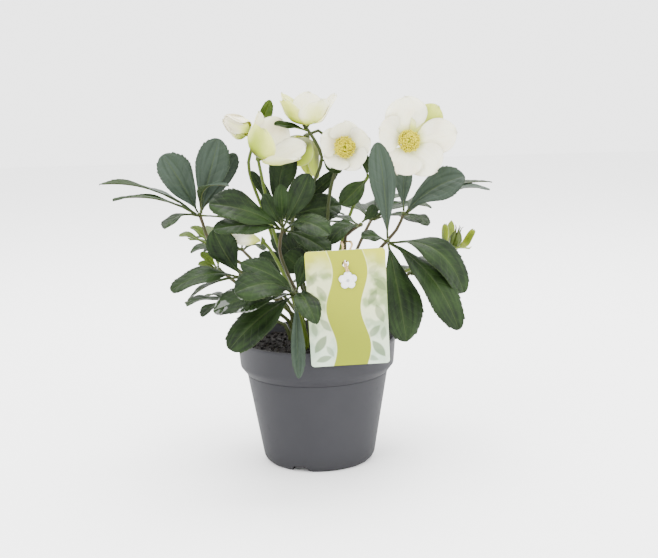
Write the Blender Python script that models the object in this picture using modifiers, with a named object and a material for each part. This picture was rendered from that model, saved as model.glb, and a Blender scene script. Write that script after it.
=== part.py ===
"""Hellebore plant in a round nursery pot, with a hanging picture tag.

All driving sizes are in millimetres, and MM turns them into Blender's metres. The origin is the
middle of the pot's base, +Z is up, and the plant's front looks along -Y.
"""
import math

import bmesh
import bpy
from mathutils import Matrix, Vector

MM = 0.001

# Pot: a 13 cm nursery pot
POT_TOP_Z = 102.3
RIM_RADIUS = 65.0
COLLAR_Z = 79.2
COLLAR_RADIUS = 62.8
BODY_TOP_Z = 74.5
BODY_TOP_RADIUS = 57.9
BODY_LOW_Z = 6.7
BODY_LOW_RADIUS = 46.3
FOOT_RADIUS = 42.0
POT_WALL = 1.4
POT_FLOOR_Z = 4.8
POT_FLOOR_THICKNESS = 1.6
FOOT_RING_WIDTH = 3.6
CENTRE_PAD_RADIUS = 12.0
POT_SIDES = 26
NOTCH_WIDTH = 16.0
NOTCH_HEIGHT = 4.4
NOTCH_ANGLES = (-111.0, 9.0, 129.0)
DRAIN_RADIUS = 4.0
DRAIN_CIRCLE = 25.0

# Soil
SOIL_TOP_Z = 96.0
SOIL_GAP = 0.3
SOIL_SIDE_GAP = 1.3
SOIL_SIDES = 16
SOIL_LUMP = 0.9
SOIL_LEVEL_RADIUS = 34.0
FOOT_DEPTH = 9.0
STRAIGHT_ABOVE_SOIL = 3.0
HOLE_GAP = 0.45

# Blades and stems
BLADE_THICKNESS = 0.7
PETIOLE_RADIUS = 1.6
STALK_RADIUS = 1.6
HUB_RADIUS = 3.0
STEM_SPACING = 32.0
ROOT_START = 2.0
BLADE_BASE_WIDTH = 1.3
BLADE_TIP_WIDTH = 4.0
WIDEST_AT = 0.64
FOOT_POWER = 1.05
TIP_POWER = 0.5
TOOTH_DEPTH = 0.06
BLADE_ROWS = (0.0, 0.16, 0.5, 0.69, 0.87, 1.0)
TOOTH_OF_ROW = (0, 0, 1, -1, 1, 0)

# Blooms
RECEPTACLE_RADIUS = 3.2
DISC_GAP = 0.3
DISC_HEIGHT = 1.3
DISC_RADIUS = 3.8
DISC_SIDES = 8
PETAL_ROOT_ANGLE = 78.0
OPEN_BEND = 1.7
PETAL_STEPS = 24
PETAL_COLUMNS = 2
PETAL_ROWS = 4
PETAL_WIDEST_AT = 0.6
PETAL_TIP_SHARE = 0.42
PETAL_POWER = 0.8
PETAL_HOLLOW_RADIUS = 8.0
PETAL_TWIST = 1.0
PETAL_ROOT_WIDTH = 3.4
PETAL_ROOT_RADIUS = 3.0
STAMEN_LENGTH = 9.5
STAMEN_CIRCLE = 2.9
INNER_SPLAY_SHARE = 0.4
PISTIL_LENGTH = 9.0

# Tag
CARD_WIDTH = 60.0
CARD_HEIGHT = 91.0
CARD_THICKNESS = 0.8
CARD_CORNER = 2.5
CARD_FOOT = (25.6, -66.9, 93.5)
CARD_LEAN = 7.0
CARD_ROLL = 2.0
CARD_HOLE_RADIUS = 2.6
CARD_HOLE_FROM_TOP = 10.5
TWINE_RADIUS = 0.8
CHARM_RADIUS = 7.0
CHARM_THICKNESS = 2.4

LEAF_GREEN = (0.045, 0.10, 0.055)
SLATE_GREEN = (0.09, 0.14, 0.11)
YOUNG_GREEN = (0.20, 0.36, 0.06)
STALK_GREEN = (0.22, 0.36, 0.10)
PETAL_CREAM = (0.86, 0.86, 0.74)
PETAL_GREENISH = (0.72, 0.78, 0.42)
STAMEN_YELLOW = (0.82, 0.70, 0.10)

# Leaves: the stem's points from its foot in the soil to the hub, then the leaflets as
# tip, width, the way the upper face looks, arch, and fold (edges up from the midrib)
LEAVES = {
    "leaf_left_high": {
        "stem": [(-13, -5), (-16, -6, 118), (-50, -13, 151), (-80, -9, 177), (-91, -5, 205)],
        "blades": [
            ((-117, -14, 254), 28, (0.3, -0.8, 0.5), 0.05, 0.15),
            ((-73, -6, 265), 27, (-0.1, -0.95, 0.35), 0.05, 0.12),
            ((-61, 12, 252), 18, (0.5, -0.7, 0.3), 0.05, 0.2),
            ((-65, -28, 229), 15, (0.0, -0.3, 1.0), 0.30, 0.2),
            ((-173, 12, 230), 22, (-0.1, 0.15, 1.0), 0.10, 0.2),
            ((-158, -16, 220), 20, (0.0, 0.1, 1.0), 0.10, 0.2),
            ((-114, -45, 199), 15, (-0.1, 0.1, 1.0), 0.12, 0.2),
            ((-52, -36, 201), 13, (0.0, 0.1, 1.0), 0.03, 0.2),
        ],
    },
    "leaf_left_small": {
        "stem": [(-20, 8), (-23, 8, 125), (-56, 14, 158), (-84, 14, 176)],
        "blades": [
            ((-109, 2, 188), 11, (0.1, -0.1, 1.0), 0.08, 0.3),
            ((-101, 18, 193), 11, (0.1, -0.1, 1.0), 0.08, 0.3),
            ((-104, 32, 180), 13, (0.0, 0.0, 1.0), 0.10, 0.2),
            ((-86, 38, 190), 13, (0.0, 0.0, 1.0), 0.10, 0.2),
        ],
    },
    "leaf_left_young": {
        "stem": [(-18, -1), (-22, -2, 115), (-52, -22, 143), (-75, -30, 164)],
        "blades": [
            ((-89, -30, 178), 9, (0.4, -0.7, 0.4), 0.05, 0.4),
            ((-92, -24, 168), 8, (0.2, -0.5, 0.8), 0.10, 0.4),
            ((-78, -22, 180), 8, (0.5, -0.7, 0.2), 0.05, 0.4),
        ],
    },
    "leaf_left_middle": {
        "stem": [(-9, -15), (-12, -18, 116), (-34, -38, 144), (-57, -50, 162)],
        "blades": [
            ((-108, -74, 156), 25, (-0.25, -0.55, 0.8), 0.16, 0.12),
            ((-98, -58, 145), 14, (-0.1, 0.1, 1.0), 0.10, 0.2),
            ((-76, -58, 199), 24, (-0.2, -0.9, 0.4), 0.08, 0.12),
        ],
    },
    "leaf_front_left": {
        "stem": [(3, -19), (4, -22, 115), (2, -46, 140), (-15, -62, 149)],
        "blades": [
            ((-65, -88, 113), 33, (-0.3, -0.8, 0.6), 0.12, 0.1),
            ((-76, -86, 142), 27, (-0.15, -0.75, 0.7), 0.13, 0.1),
            ((-58, -101, 158), 27, (-0.1, -0.65, 0.75), 0.15, 0.1),
            ((-55, -77, 176), 22, (0.1, -0.75, 0.65), 0.16, 0.1),
            ((0, -109, 135), 18, (0.15, -0.75, 0.6), 0.20, 0.15),
            ((-14, -83, 88), 14, (0.1, -1.0, 0.2), 0.08, 0.8),
            ((-4, -67, 179), 15, (0.0, -1.0, 0.3), 0.05, 0.2),
        ],
    },
    "leaf_centre": {
        "stem": [(-5, -8), (-7, -10, 122), (-22, -27, 160), (-27, -37, 180), (-24, -40, 196)],
        "blades": [
            ((-78, -62, 219), 29, (-0.1, -0.7, 0.7), 0.12, 0.12),
            ((-24, -47, 231), 14, (0.0, -1.0, 0.2), 0.05, 0.6),
            ((-37, -45, 224), 13, (-0.1, -0.9, 0.3), 0.08, 0.2),
            ((-2, -26, 237), 20, (0.1, -1.0, 0.1), 0.05, 0.2),
            ((12, -68, 194), 22, (0.2, -0.6, 0.75), 0.20, 0.15),
            ((12, -54, 178), 21, (0.3, -0.75, 0.6), 0.08, 0.15),
            ((-75, -64, 200), 21, (-0.2, -0.75, 0.6), 0.12, 0.15),
        ],
    },
    "leaf_centre_back": {
        "stem": [(-5, 11), (-6, 11, 122), (-18, 13, 165), (-27, 13, 198)],
        "blades": [
            ((-16, 8, 258), 25, (-0.6, -0.8, 0.1), 0.12, 0.12),
            ((21, 9, 236), 12, (-0.4, -0.9, 0.3), -0.08, 0.2),
            ((23, 11, 208), 26, (0.1, -0.9, 0.4), 0.08, 0.15),
            ((12, 7, 176), 15, (0.1, -0.8, 0.5), 0.05, 0.2),
            ((-49, 6, 238), 9, (-0.3, -0.9, 0.2), 0.05, 0.3),
        ],
    },
    "leaf_middle_low": {
        "stem": [(-1, -2), (-1, -4, 118), (-2, -9, 138), (-5, -14, 154)],
        "blades": [
            ((-24, -13, 172), 18, (-0.1, -0.9, 0.4), 0.05, 0.15),
            ((-8, -8, 180), 16, (0.0, -0.9, 0.4), 0.05, 0.15),
        ],
    },
    "leaf_right_low": {
        "stem": [(10, -13), (12, -15, 115), (36, -30, 155), (50, -38, 177), (57, -42, 185)],
        "blades": [
            ((50, -47, 261), 21, (0.0, -1.0, 0.15), 0.05, 0.15),
            ((113, -62, 146), 29, (0.35, -0.6, 0.75), 0.28, 0.1),
            ((107, -78, 121), 29, (0.3, -0.75, 0.6), 0.15, 0.1),
            ((69, -62, 109), 33, (0.15, -0.95, 0.35), 0.10, 0.08),
            ((36, -58, 190), 13, (0.0, -0.6, 0.8), 0.10, 0.15),
        ],
    },
    "leaf_right_high": {
        "stem": [(17, -3), (19, -3, 120), (50, 0, 168), (67, 0, 188), (73, 0, 201)],
        "blades": [
            ((121, -10, 231), 28, (-0.3, -0.75, 0.65), 0.10, 0.15),
            ((145, 14, 218), 20, (-0.1, -0.3, 1.0), 0.12, 0.15),
            ((150, 34, 222), 14, (0.0, -0.1, 1.0), 0.10, 0.2),
            ((76, 14, 242), 15, (0.0, -1.0, 0.1), 0.05, 0.2),
            ((90, -26, 194), 13, (0.0, -0.2, 1.0), 0.10, 0.2),
            ((104, 44, 210), 20, (0.0, 0.1, 1.0), 0.10, 0.15),
        ],
    },
    "leaf_behind_tag": {
        "stem": [(7, -5), (9, -7, 118), (19, -25, 158), (24, -30, 176), (25, -30, 188),
                 (37, -26, 196)],
        "blades": [
            ((11, -44, 184), 15, (0.1, -0.5, 0.9), 0.22, 0.15),
            ((15, -8, 201), 11, (0.1, -0.1, 1.0), 0.06, 0.2),
            ((49, -24, 211), 10, (0.5, -0.8, 0.3), 0.05, 0.4),
            ((15, -30, 193), 14, (0.1, -0.4, 1.0), 0.15, 0.2),
        ],
    },
}


def fan(hub, heading, size, lift, count, spread=32.0):
    """Leaflets of a leaf whose shape follows the species' rule: a fan round the hub."""
    blades = []
    middle = (count - 1) / 2
    for index in range(count):
        step = index - middle
        turn = math.radians(heading + step * spread)
        length = size * (1 - 0.085 * abs(step) + 0.012 * index)
        rise = math.radians(lift + 7 * (index % 2) - 4 * abs(step) + 0.9 * index)
        out = Vector((math.cos(turn), math.sin(turn), 0))
        tip = Vector(hub) + out * length * math.cos(rise) + Vector((0, 0, length * math.sin(rise)))
        face = (0.25 * out.x, 0.25 * out.y, 1.0)
        blades.append((tuple(tip), 0.36 * length, face, 0.13, 0.15))
    return blades


FAN_LEAVES = {
    "leaf_back_middle": ([(-3, 18), (-4, 22, 118), (-6, 58, 160), (-8, 74, 184)], 94, 58, 4, 6),
    "leaf_back_right": ([(12, 14), (14, 18, 118), (36, 46, 165), (50, 60, 190)], 48, 60, 8, 6),
    "leaf_back_left": ([(-13, 15), (-16, 18, 118), (-44, 40, 150), (-62, 52, 168)], 142, 48, 2, 6),
    "leaf_right_back_low": ([(20, 9), (23, 11, 112), (60, 26, 132), (80, 36, 146)], 22, 52, -4, 5),
    "leaf_left_back_low": ([(-22, 16), (-26, 18, 108), (-54, 26, 118), (-70, 30, 126)], 165, 42, -4, 5),
    "leaf_back_low": ([(4, 24), (5, 30, 108), (10, 56, 126), (14, 72, 134)], 82, 54, -4, 5),
}
LEAVES.update({
    name: {"stem": stem, "blades": fan(stem[-1], heading, size, lift, count)}
    for name, (stem, heading, size, lift, count) in FAN_LEAVES.items()
})

# Blooms: stalk points from the soil to the flower's base, the way it opens, how soon its petals
# bend (more makes a slimmer bowl), its stamens as count and splay, and the petals as turn about
# that axis, length, width and angle from the axis at the tip
BLOOMS = {
    "bloom_right": {
        "stem": [(8, 3), (10, 3, 120), (24, -4, 185), (36, -6, 217), (44, -5, 231),
                 (59, -3, 244), (76, -14, 259)],
        "axis": (0.03, -0.97, 0.12),
        "bend": 1.7,
        "stamens": (9, 34),
        "petals": [(160, 31, 30, 38), (97, 36, 34, 52), (48, 34, 24, 66), (8, 37, 28, 62),
                   (-50, 32, 30, 58), (-112, 30, 32, 50)],
        "bracts": [((44, -5, 231), (22, -16, 211), 17, (0.2, -0.9, 0.4), 0.15),
                   ((44, -5, 231), (42, -8, 251), 7, (0.0, -1.0, 0.1), 0.03)],
    },
    "bloom_middle": {
        "stem": [(3, 5), (4, 4, 120), (10, 1, 180), (13, 0, 214), (19, -2, 238), (26, -8, 255)],
        "axis": (0.03, -0.98, 0.15),
        "bend": 1.7,
        "stamens": (9, 34),
        "petals": [(90, 22, 24, 40), (18, 22, 24, 42), (-54, 22, 24, 42), (-126, 22, 22, 42),
                   (162, 22, 24, 44)],
        "bracts": [],
    },
    "bloom_top": {
        "stem": [(-3, 3), (-4, 3, 122), (-17, 2, 180), (-14, 0, 206), (3, 0, 232), (8, 0, 248),
                 (3, 0, 261), (-4, 1, 274)],
        "axis": (0.05, -0.20, 1.0),
        "bend": 1.7,
        "stamens": (5, 30),
        "petals": [(222, 31, 24, 20), (296, 33, 29, 18), (8, 33, 20, 26), (84, 29, 24, 20),
                   (156, 31, 24, 24)],
        "bracts": [((8, 0, 246), (22, -16, 236), 13, (0.1, -0.7, 0.7), 0.15),
                   ((-3, 0, 270), (-29, -8, 275), 10, (0.0, -0.4, 1.0), 0.03)],
    },
    "bloom_left": {
        "stem": [(-10, 2), (-12, 2, 122), (-31, -4, 185), (-37, -10, 217), (-40, -13, 235),
                 (-41, -16, 250)],
        "axis": (0.60, -0.30, 0.72),
        "bend": 1.7,
        "stamens": (6, 30),
        "petals": [(100, 36, 28, 18), (172, 36, 30, 16), (250, 39, 27, 34), (322, 37, 27, 28),
                   (30, 37, 29, 24)],
        "bracts": [],
    },
    "bloom_far_left": {
        "stem": [(-14, 8), (-16, 8, 122), (-36, 12, 190), (-51, 16, 236), (-49, 17, 254),
                 (-47, 17, 263), (-51, 17, 268)],
        "axis": (-0.80, -0.20, 0.55),
        "bend": 2.2,
        "stamens": (4, 10),
        "petals": [(90, 26, 15, -10), (18, 26, 15, -10), (-54, 26, 15, -10), (-126, 26, 15, -10),
                   (162, 26, 15, -10)],
        "bracts": [((-47.5, 17, 261), (-32, 11, 294), 11, (0.3, -0.9, 0.3), 0.03)],
    },
    "bloom_hanging": {
        "stem": [(2, 13), (2, 14, 122), (12, 28, 200), (16, 34, 238), (14, 34, 258),
                 (6, 33, 268), (-4, 31, 263)],
        "axis": (-0.42, -0.12, -0.90),
        "bend": 2.0,
        "stamens": (4, 20),
        "petals": [(90, 36, 23, 14), (18, 36, 23, 12), (-54, 36, 23, 12), (-126, 36, 23, 12),
                   (162, 36, 23, 14)],
        "bracts": [],
    },
}

BUD_STEM = [(-8, -21), (-10, -24, 115), (-24, -40, 160), (-34, -44, 181), (-41, -45, 188)]
BUD_AXIS = (-0.97, -0.1, 0.2)
BUD_LENGTH = 26.0
BUD_RADIUS = 6.2
HEAD_STEM = [(23, 2), (25, 2, 114), (62, 8, 146), (96, 4, 161), (112, -3, 170)]
HEAD_AXIS = (0.25, -0.05, 0.97)


def clear_scene():
    """Start from an empty scene."""
    for old in list(bpy.data.objects):
        bpy.data.objects.remove(old, do_unlink=True)


def collection(name):
    """A new collection in the scene."""
    group = bpy.data.collections.new(name)
    bpy.context.scene.collection.children.link(group)
    return group


def material(name, colour, roughness=0.5, metallic=0.0):
    """A Principled material."""
    made = bpy.data.materials.new(name)
    made.use_nodes = True
    shader = made.node_tree.nodes["Principled BSDF"]
    shader.inputs["Base Color"].default_value = (*colour, 1.0)
    shader.inputs["Roughness"].default_value = roughness
    shader.inputs["Metallic"].default_value = metallic
    return made


def finish_piece(name, mesh, group, colour, roughness=0.5):
    """Name a mesh's object, give it its own material and put it in its collection."""
    piece = bpy.data.objects.new(name, mesh)
    group.objects.link(piece)
    mesh.materials.clear()
    mesh.materials.append(material(name, colour, roughness))
    return piece


def evaluated_mesh(piece):
    """The piece's mesh with its modifiers applied, in world space; the piece is removed."""
    bpy.context.view_layer.update()
    graph = bpy.context.evaluated_depsgraph_get()
    mesh = bpy.data.meshes.new_from_object(piece.evaluated_get(graph))
    mesh.transform(piece.matrix_world)
    bpy.data.objects.remove(piece, do_unlink=True)
    return mesh


def weld(mesh):
    """Join the loose caps of a tube made from a curve."""
    form = bmesh.new()
    form.from_mesh(mesh)
    bmesh.ops.remove_doubles(form, verts=form.verts, dist=0.00001)
    bmesh.ops.recalc_face_normals(form, faces=form.faces)
    bmesh.ops.triangulate(form, faces=form.faces)
    form.to_mesh(mesh)
    form.free()
    return mesh


def smooth_path(points, spacing):
    """Points along a Catmull-Rom curve through the given points."""
    ends = [2 * points[0] - points[1]] + points + [2 * points[-1] - points[-2]]
    path = [points[0]]
    for index in range(1, len(ends) - 2):
        before, start, end, after = ends[index - 1:index + 3]
        steps = max(1, round((end - start).length / spacing))
        for step in range(1, steps + 1):
            t = step / steps
            path.append(0.5 * (2 * start + (end - before) * t
                               + (2 * before - 5 * start + 4 * end - after) * t ** 2
                               + (3 * start - before - 3 * end + after) * t ** 3))
    return path


def stem_points(stem):
    """The whole route of a stem that stands in the soil, straight where it leaves it."""
    x, y = stem[0]
    foot = Vector((x, y, SOIL_TOP_Z - FOOT_DEPTH + HOLE_GAP))
    collar = Vector((x, y, SOIL_TOP_Z + STRAIGHT_ABOVE_SOIL))
    return [foot] + smooth_path([collar] + [Vector(point) for point in stem[1:]], STEM_SPACING)


def knob_mesh(place, radius):
    """A small knob, where several blades grow from one point."""
    mesh = bpy.data.meshes.new("knob")
    form = bmesh.new()
    bmesh.ops.create_icosphere(form, subdivisions=1, radius=radius * MM,
                               matrix=Matrix.Translation(Vector(place) * MM))
    form.to_mesh(mesh)
    form.free()
    return mesh


def tube_mesh(points, radius, resolution=0, taper=1.0):
    """A closed tube along points, in millimetres."""
    curve = bpy.data.curves.new("tube", "CURVE")
    curve.dimensions = "3D"
    curve.bevel_depth = radius * MM
    curve.bevel_resolution = resolution
    curve.use_fill_caps = True
    spline = curve.splines.new("POLY")
    spline.points.add(len(points) - 1)
    for index, (place, point) in enumerate(zip(spline.points, points)):
        place.co = (*(Vector(point) * MM), 1.0)
        place.radius = 1.0 + (taper - 1.0) * index / (len(points) - 1)
    tube = bpy.data.objects.new("tube", curve)
    bpy.context.scene.collection.objects.link(tube)
    return weld(evaluated_mesh(tube))


def sheet_mesh(columns, rows, place, thickness=BLADE_THICKNESS):
    """A blade: a grid laid out by place(u, s), split into triangles and made solid."""
    mesh = bpy.data.meshes.new("blade")
    form = bmesh.new()
    bmesh.ops.create_grid(form, x_segments=columns, y_segments=rows, size=1.0)
    for vertex in form.verts:
        vertex.co = place(vertex.co.x, (vertex.co.y + 1) / 2) * MM
    bmesh.ops.triangulate(form, faces=form.faces)
    form.to_mesh(mesh)
    form.free()
    blade = bpy.data.objects.new("blade", mesh)
    bpy.context.scene.collection.objects.link(blade)
    solid = blade.modifiers.new("thickness", "SOLIDIFY")
    solid.thickness = thickness * MM
    solid.offset = 0.0
    return evaluated_mesh(blade)


def round_mesh(radius_low, radius_high, height, sides, matrix):
    """A cone or cylinder from its base at the matrix's origin up its Z axis."""
    mesh = bpy.data.meshes.new("round")
    form = bmesh.new()
    bmesh.ops.create_cone(form, cap_ends=True, segments=sides, radius1=radius_low * MM,
                          radius2=radius_high * MM, depth=height * MM,
                          matrix=Matrix.Translation((0, 0, height * MM / 2)))
    form.to_mesh(mesh)
    form.free()
    mesh.transform(matrix)
    return mesh


def union(name, meshes, group, colour, roughness=0.5):
    """Join the meshes of one node in a single solid."""
    parts = collection("joining_" + name)
    for index, mesh in enumerate(meshes[1:]):
        parts.objects.link(bpy.data.objects.new(f"{name}_{index}", mesh))
    base = bpy.data.objects.new(name + "_base", meshes[0])
    bpy.context.scene.collection.objects.link(base)
    join = base.modifiers.new("union", "BOOLEAN")
    join.operation = "UNION"
    join.operand_type = "COLLECTION"
    join.collection = parts
    join.solver = "EXACT"
    mesh = evaluated_mesh(base)
    for part in list(parts.objects):
        bpy.data.objects.remove(part, do_unlink=True)
    bpy.data.collections.remove(parts)
    return finish_piece(name, mesh, group, colour, roughness)


def leaflet_width(s, width):
    """Half the width of a leaflet at s, from its narrow foot to its blunt tip."""
    power = FOOT_POWER if s < WIDEST_AT else TIP_POWER
    wave = math.sin(math.pi * s ** (math.log(0.5) / math.log(WIDEST_AT)))
    shape = max(0.0, wave) ** power
    least = BLADE_BASE_WIDTH + (BLADE_TIP_WIDTH - BLADE_BASE_WIDTH) * s
    return max(least, width * shape) / 2


def leaflet(root, tip, width, face, arch, fold, start=ROOT_START):
    """One toothed leaflet from the hub to its tip."""
    root, tip, face = Vector(root), Vector(tip), Vector(face)
    along = (tip - root).normalized()
    root = root + along * start
    run = tip - root
    up = (face - along * face.dot(along)).normalized()
    side = along.cross(up)

    def place(u, row):
        index = round(row * (len(BLADE_ROWS) - 1))
        s = BLADE_ROWS[index]
        half = leaflet_width(s, width) * (1 + TOOTH_DEPTH * TOOTH_OF_ROW[index])
        centre = root + run * s + up * (4 * arch * run.length * s * (1 - s))
        slope = run + up * (4 * arch * run.length * (1 - 2 * s))
        normal = side.cross(slope).normalized()
        if normal.dot(up) < 0:
            normal = -normal
        across = half / math.sqrt(1 + fold * fold)
        return centre + side * (u * across) + normal * (abs(u) * fold * across)

    return sheet_mesh(2, len(BLADE_ROWS) - 1, place)


def build_leaf(name, spec, group, colour):
    """A leaf: its stem from the soil and its leaflets round the hub."""
    hub = spec["stem"][-1]
    meshes = [knob_mesh(hub, HUB_RADIUS), tube_mesh(stem_points(spec["stem"]), PETIOLE_RADIUS)]
    for tip, width, face, arch, fold in spec["blades"]:
        meshes.append(leaflet(hub, tip, width, face, arch, fold))
    return union(name, meshes, group, colour, 0.4)


def bloom_frame(base, axis):
    """The matrix of a flower: its Z axis is the way it opens, its Y axis as far up as can be."""
    forward = Vector(axis).normalized()
    up = Vector((0, 0, 1)) if abs(forward.z) < 0.9 else Vector((0, 1, 0))
    side = up.cross(forward).normalized()
    upright = forward.cross(side)
    turn = Matrix((side, upright, forward)).transposed().to_4x4()
    return Matrix.Translation(Vector(base) * MM) @ turn


def petal_width(s, width):
    """Half the width of a petal at s."""
    wave = math.sin(math.pi * s ** (math.log(0.5) / math.log(PETAL_WIDEST_AT)))
    least = PETAL_ROOT_WIDTH + (width * PETAL_TIP_SHARE - PETAL_ROOT_WIDTH) * s * s
    return max(least, width * max(0.0, wave) ** PETAL_POWER) / 2


def petal(turn, length, width, tip_angle, level, soon=OPEN_BEND):
    """One petal, in the flower's own frame."""
    turn = math.radians(turn)
    out = Vector((math.cos(turn), math.sin(turn), 0))
    side = Vector((-math.sin(turn), math.cos(turn), 0))
    arc = [Vector((0.0, 0.0))]
    for step in range(PETAL_STEPS):
        blend = min(1.0, (step + 0.5) / PETAL_STEPS * soon)
        blend = blend * blend * (3 - 2 * blend)
        angle = math.radians(PETAL_ROOT_ANGLE + (tip_angle - PETAL_ROOT_ANGLE) * blend)
        arc.append(arc[-1] + Vector((math.sin(angle), math.cos(angle))) * length / PETAL_STEPS)

    def place(u, s):
        index = min(PETAL_STEPS - 1, int(s * PETAL_STEPS))
        spot = arc[index].lerp(arc[index + 1], s * PETAL_STEPS - index)
        slope = (arc[index + 1] - arc[index]).normalized()
        inward = out * -slope.y + Vector((0, 0, slope.x))
        half = petal_width(s, width)
        radius = PETAL_ROOT_RADIUS + spot.x
        upright = 0.3 + 0.7 * max(0.0, slope.y)
        hollow = (half * u) ** 2 * upright / (2 * max(radius, PETAL_HOLLOW_RADIUS))
        bend = hollow + PETAL_TWIST * u * min(1.0, 4 * s)
        return out * radius + Vector((0, 0, level + spot.y)) + side * (u * half) + inward * bend

    return sheet_mesh(PETAL_COLUMNS, PETAL_ROWS, place)


def turned_mesh(profile, sides):
    """A profile of radius and height turned about Z, in millimetres."""
    mesh = bpy.data.meshes.new("profile")
    form = bmesh.new()
    corners = [form.verts.new((radius * MM, 0, height * MM)) for radius, height in profile]
    for start, end in zip(corners, corners[1:]):
        form.edges.new((start, end))
    form.to_mesh(mesh)
    form.free()
    turned = bpy.data.objects.new("turned", mesh)
    bpy.context.scene.collection.objects.link(turned)
    screw = turned.modifiers.new("turn", "SCREW")
    screw.steps = sides
    screw.render_steps = sides
    screw.use_merge_vertices = True
    screw.merge_threshold = 0.00001
    return evaluated_mesh(turned)


def build_bloom(name, spec, group):
    """A flower: stalk with receptacle and bracts, the petals, and the stamens round the pistil."""
    base = Vector(spec["stem"][-1])
    frame = bloom_frame(base, spec["axis"])
    forward = frame.to_3x3() @ Vector((0, 0, 1))
    points = stem_points(spec["stem"][:-1] + [tuple(base - forward * 2.0)])
    green = [tube_mesh(points + [base - forward * 1.0], STALK_RADIUS, taper=0.85)]
    green.append(round_mesh(1.7, RECEPTACLE_RADIUS, 2.2, 6,
                            frame @ Matrix.Translation((0, 0, -2.5 * MM))))
    for root, tip, width, face, arch in spec["bracts"]:
        green.append(leaflet(root, tip, width, face, arch, 0.25, 0.0))
    union(name + "_stalk", green, group, STALK_GREEN)

    white = [round_mesh(DISC_RADIUS, DISC_RADIUS, DISC_HEIGHT, DISC_SIDES, Matrix())]
    for turn, length, width, tip_angle in spec["petals"]:
        white.append(petal(turn, length, width, tip_angle, DISC_HEIGHT / 2, spec["bend"]))
    for mesh in white:
        mesh.transform(frame)
    union(name + "_petals", white, group, PETAL_CREAM, 0.45)

    level = DISC_HEIGHT + DISC_GAP
    lift = Matrix.Translation((0, 0, level * MM))
    yellow = [round_mesh(DISC_RADIUS, DISC_RADIUS - 0.6, DISC_HEIGHT, DISC_SIDES, lift),
              round_mesh(1.8, 0.8, PISTIL_LENGTH, 5, lift)]
    count, spread = spec["stamens"]
    for index in range(count):
        turn = Matrix.Rotation(math.radians(360 * index / count), 4, "Z")
        splay = spread * (INNER_SPLAY_SHARE if index % 2 else 1.0)
        place = Matrix.Translation((STAMEN_CIRCLE * MM, 0, (level + 0.5) * MM))
        lean = turn @ place @ Matrix.Rotation(math.radians(splay), 4, "Y")
        yellow.append(round_mesh(0.55, 1.1, STAMEN_LENGTH, 3, lean))
    for mesh in yellow:
        mesh.transform(frame)
    union(name + "_stamens", yellow, group, STAMEN_YELLOW)


def build_bud(group):
    """The unopened bud: a closed head on its own stalk."""
    frame = bloom_frame(BUD_STEM[-1], BUD_AXIS)
    forward = frame.to_3x3() @ Vector((0, 0, 1))
    base = Vector(BUD_STEM[-1])
    points = stem_points(BUD_STEM[:-1] + [tuple(base - forward * 1.5)])
    green = [tube_mesh(points, STALK_RADIUS, taper=0.8)]
    green.append(round_mesh(1.4, 4.0, 3.0, 8, frame @ Matrix.Translation((0, 0, -3.3 * MM))))
    union("bud_stalk", green, group, STALK_GREEN)
    turns = 6
    profile = [(BUD_RADIUS * math.sin(math.pi * step / turns) ** 0.8,
                BUD_LENGTH * (1 - (step / turns)) ** 0.85) for step in range(turns + 1)]
    profile[0] = (0.0, BUD_LENGTH)
    profile[-1] = (0.0, 0.0)
    body = turned_mesh(profile, 10)
    body.transform(frame)
    finish_piece("bud_petals", weld(body), group, PETAL_CREAM, 0.45)


def build_seed_head(group):
    """The faded flower on the right: green seed pods in narrow green petals."""
    base = Vector(HEAD_STEM[-1])
    frame = bloom_frame(base, HEAD_AXIS)
    parts = [tube_mesh(stem_points(HEAD_STEM), STALK_RADIUS, taper=0.8)]
    parts.append(round_mesh(1.6, 5.0, 6.0, 8, frame @ Matrix.Translation((0, 0, -1.0 * MM))))
    for index in range(3):
        turn = Matrix.Rotation(math.radians(120 * index), 4, "Z")
        lean = turn @ Matrix.Translation((2.0 * MM, 0, 3.5 * MM))
        lean = lean @ Matrix.Rotation(math.radians(10), 4, "Y")
        parts.append(round_mesh(2.6, 0.5, 14.0, 4, frame @ lean))
    for turn, length, width, tip_angle in ((20, 22, 9, 16), (110, 24, 9, 12), (200, 22, 9, 10),
                                           (290, 24, 9, 74)):
        blade = petal(turn, length, width, tip_angle, 3.2)
        blade.transform(frame)
        parts.append(blade)
    union("seed_head", parts, group, YOUNG_GREEN)


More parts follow.
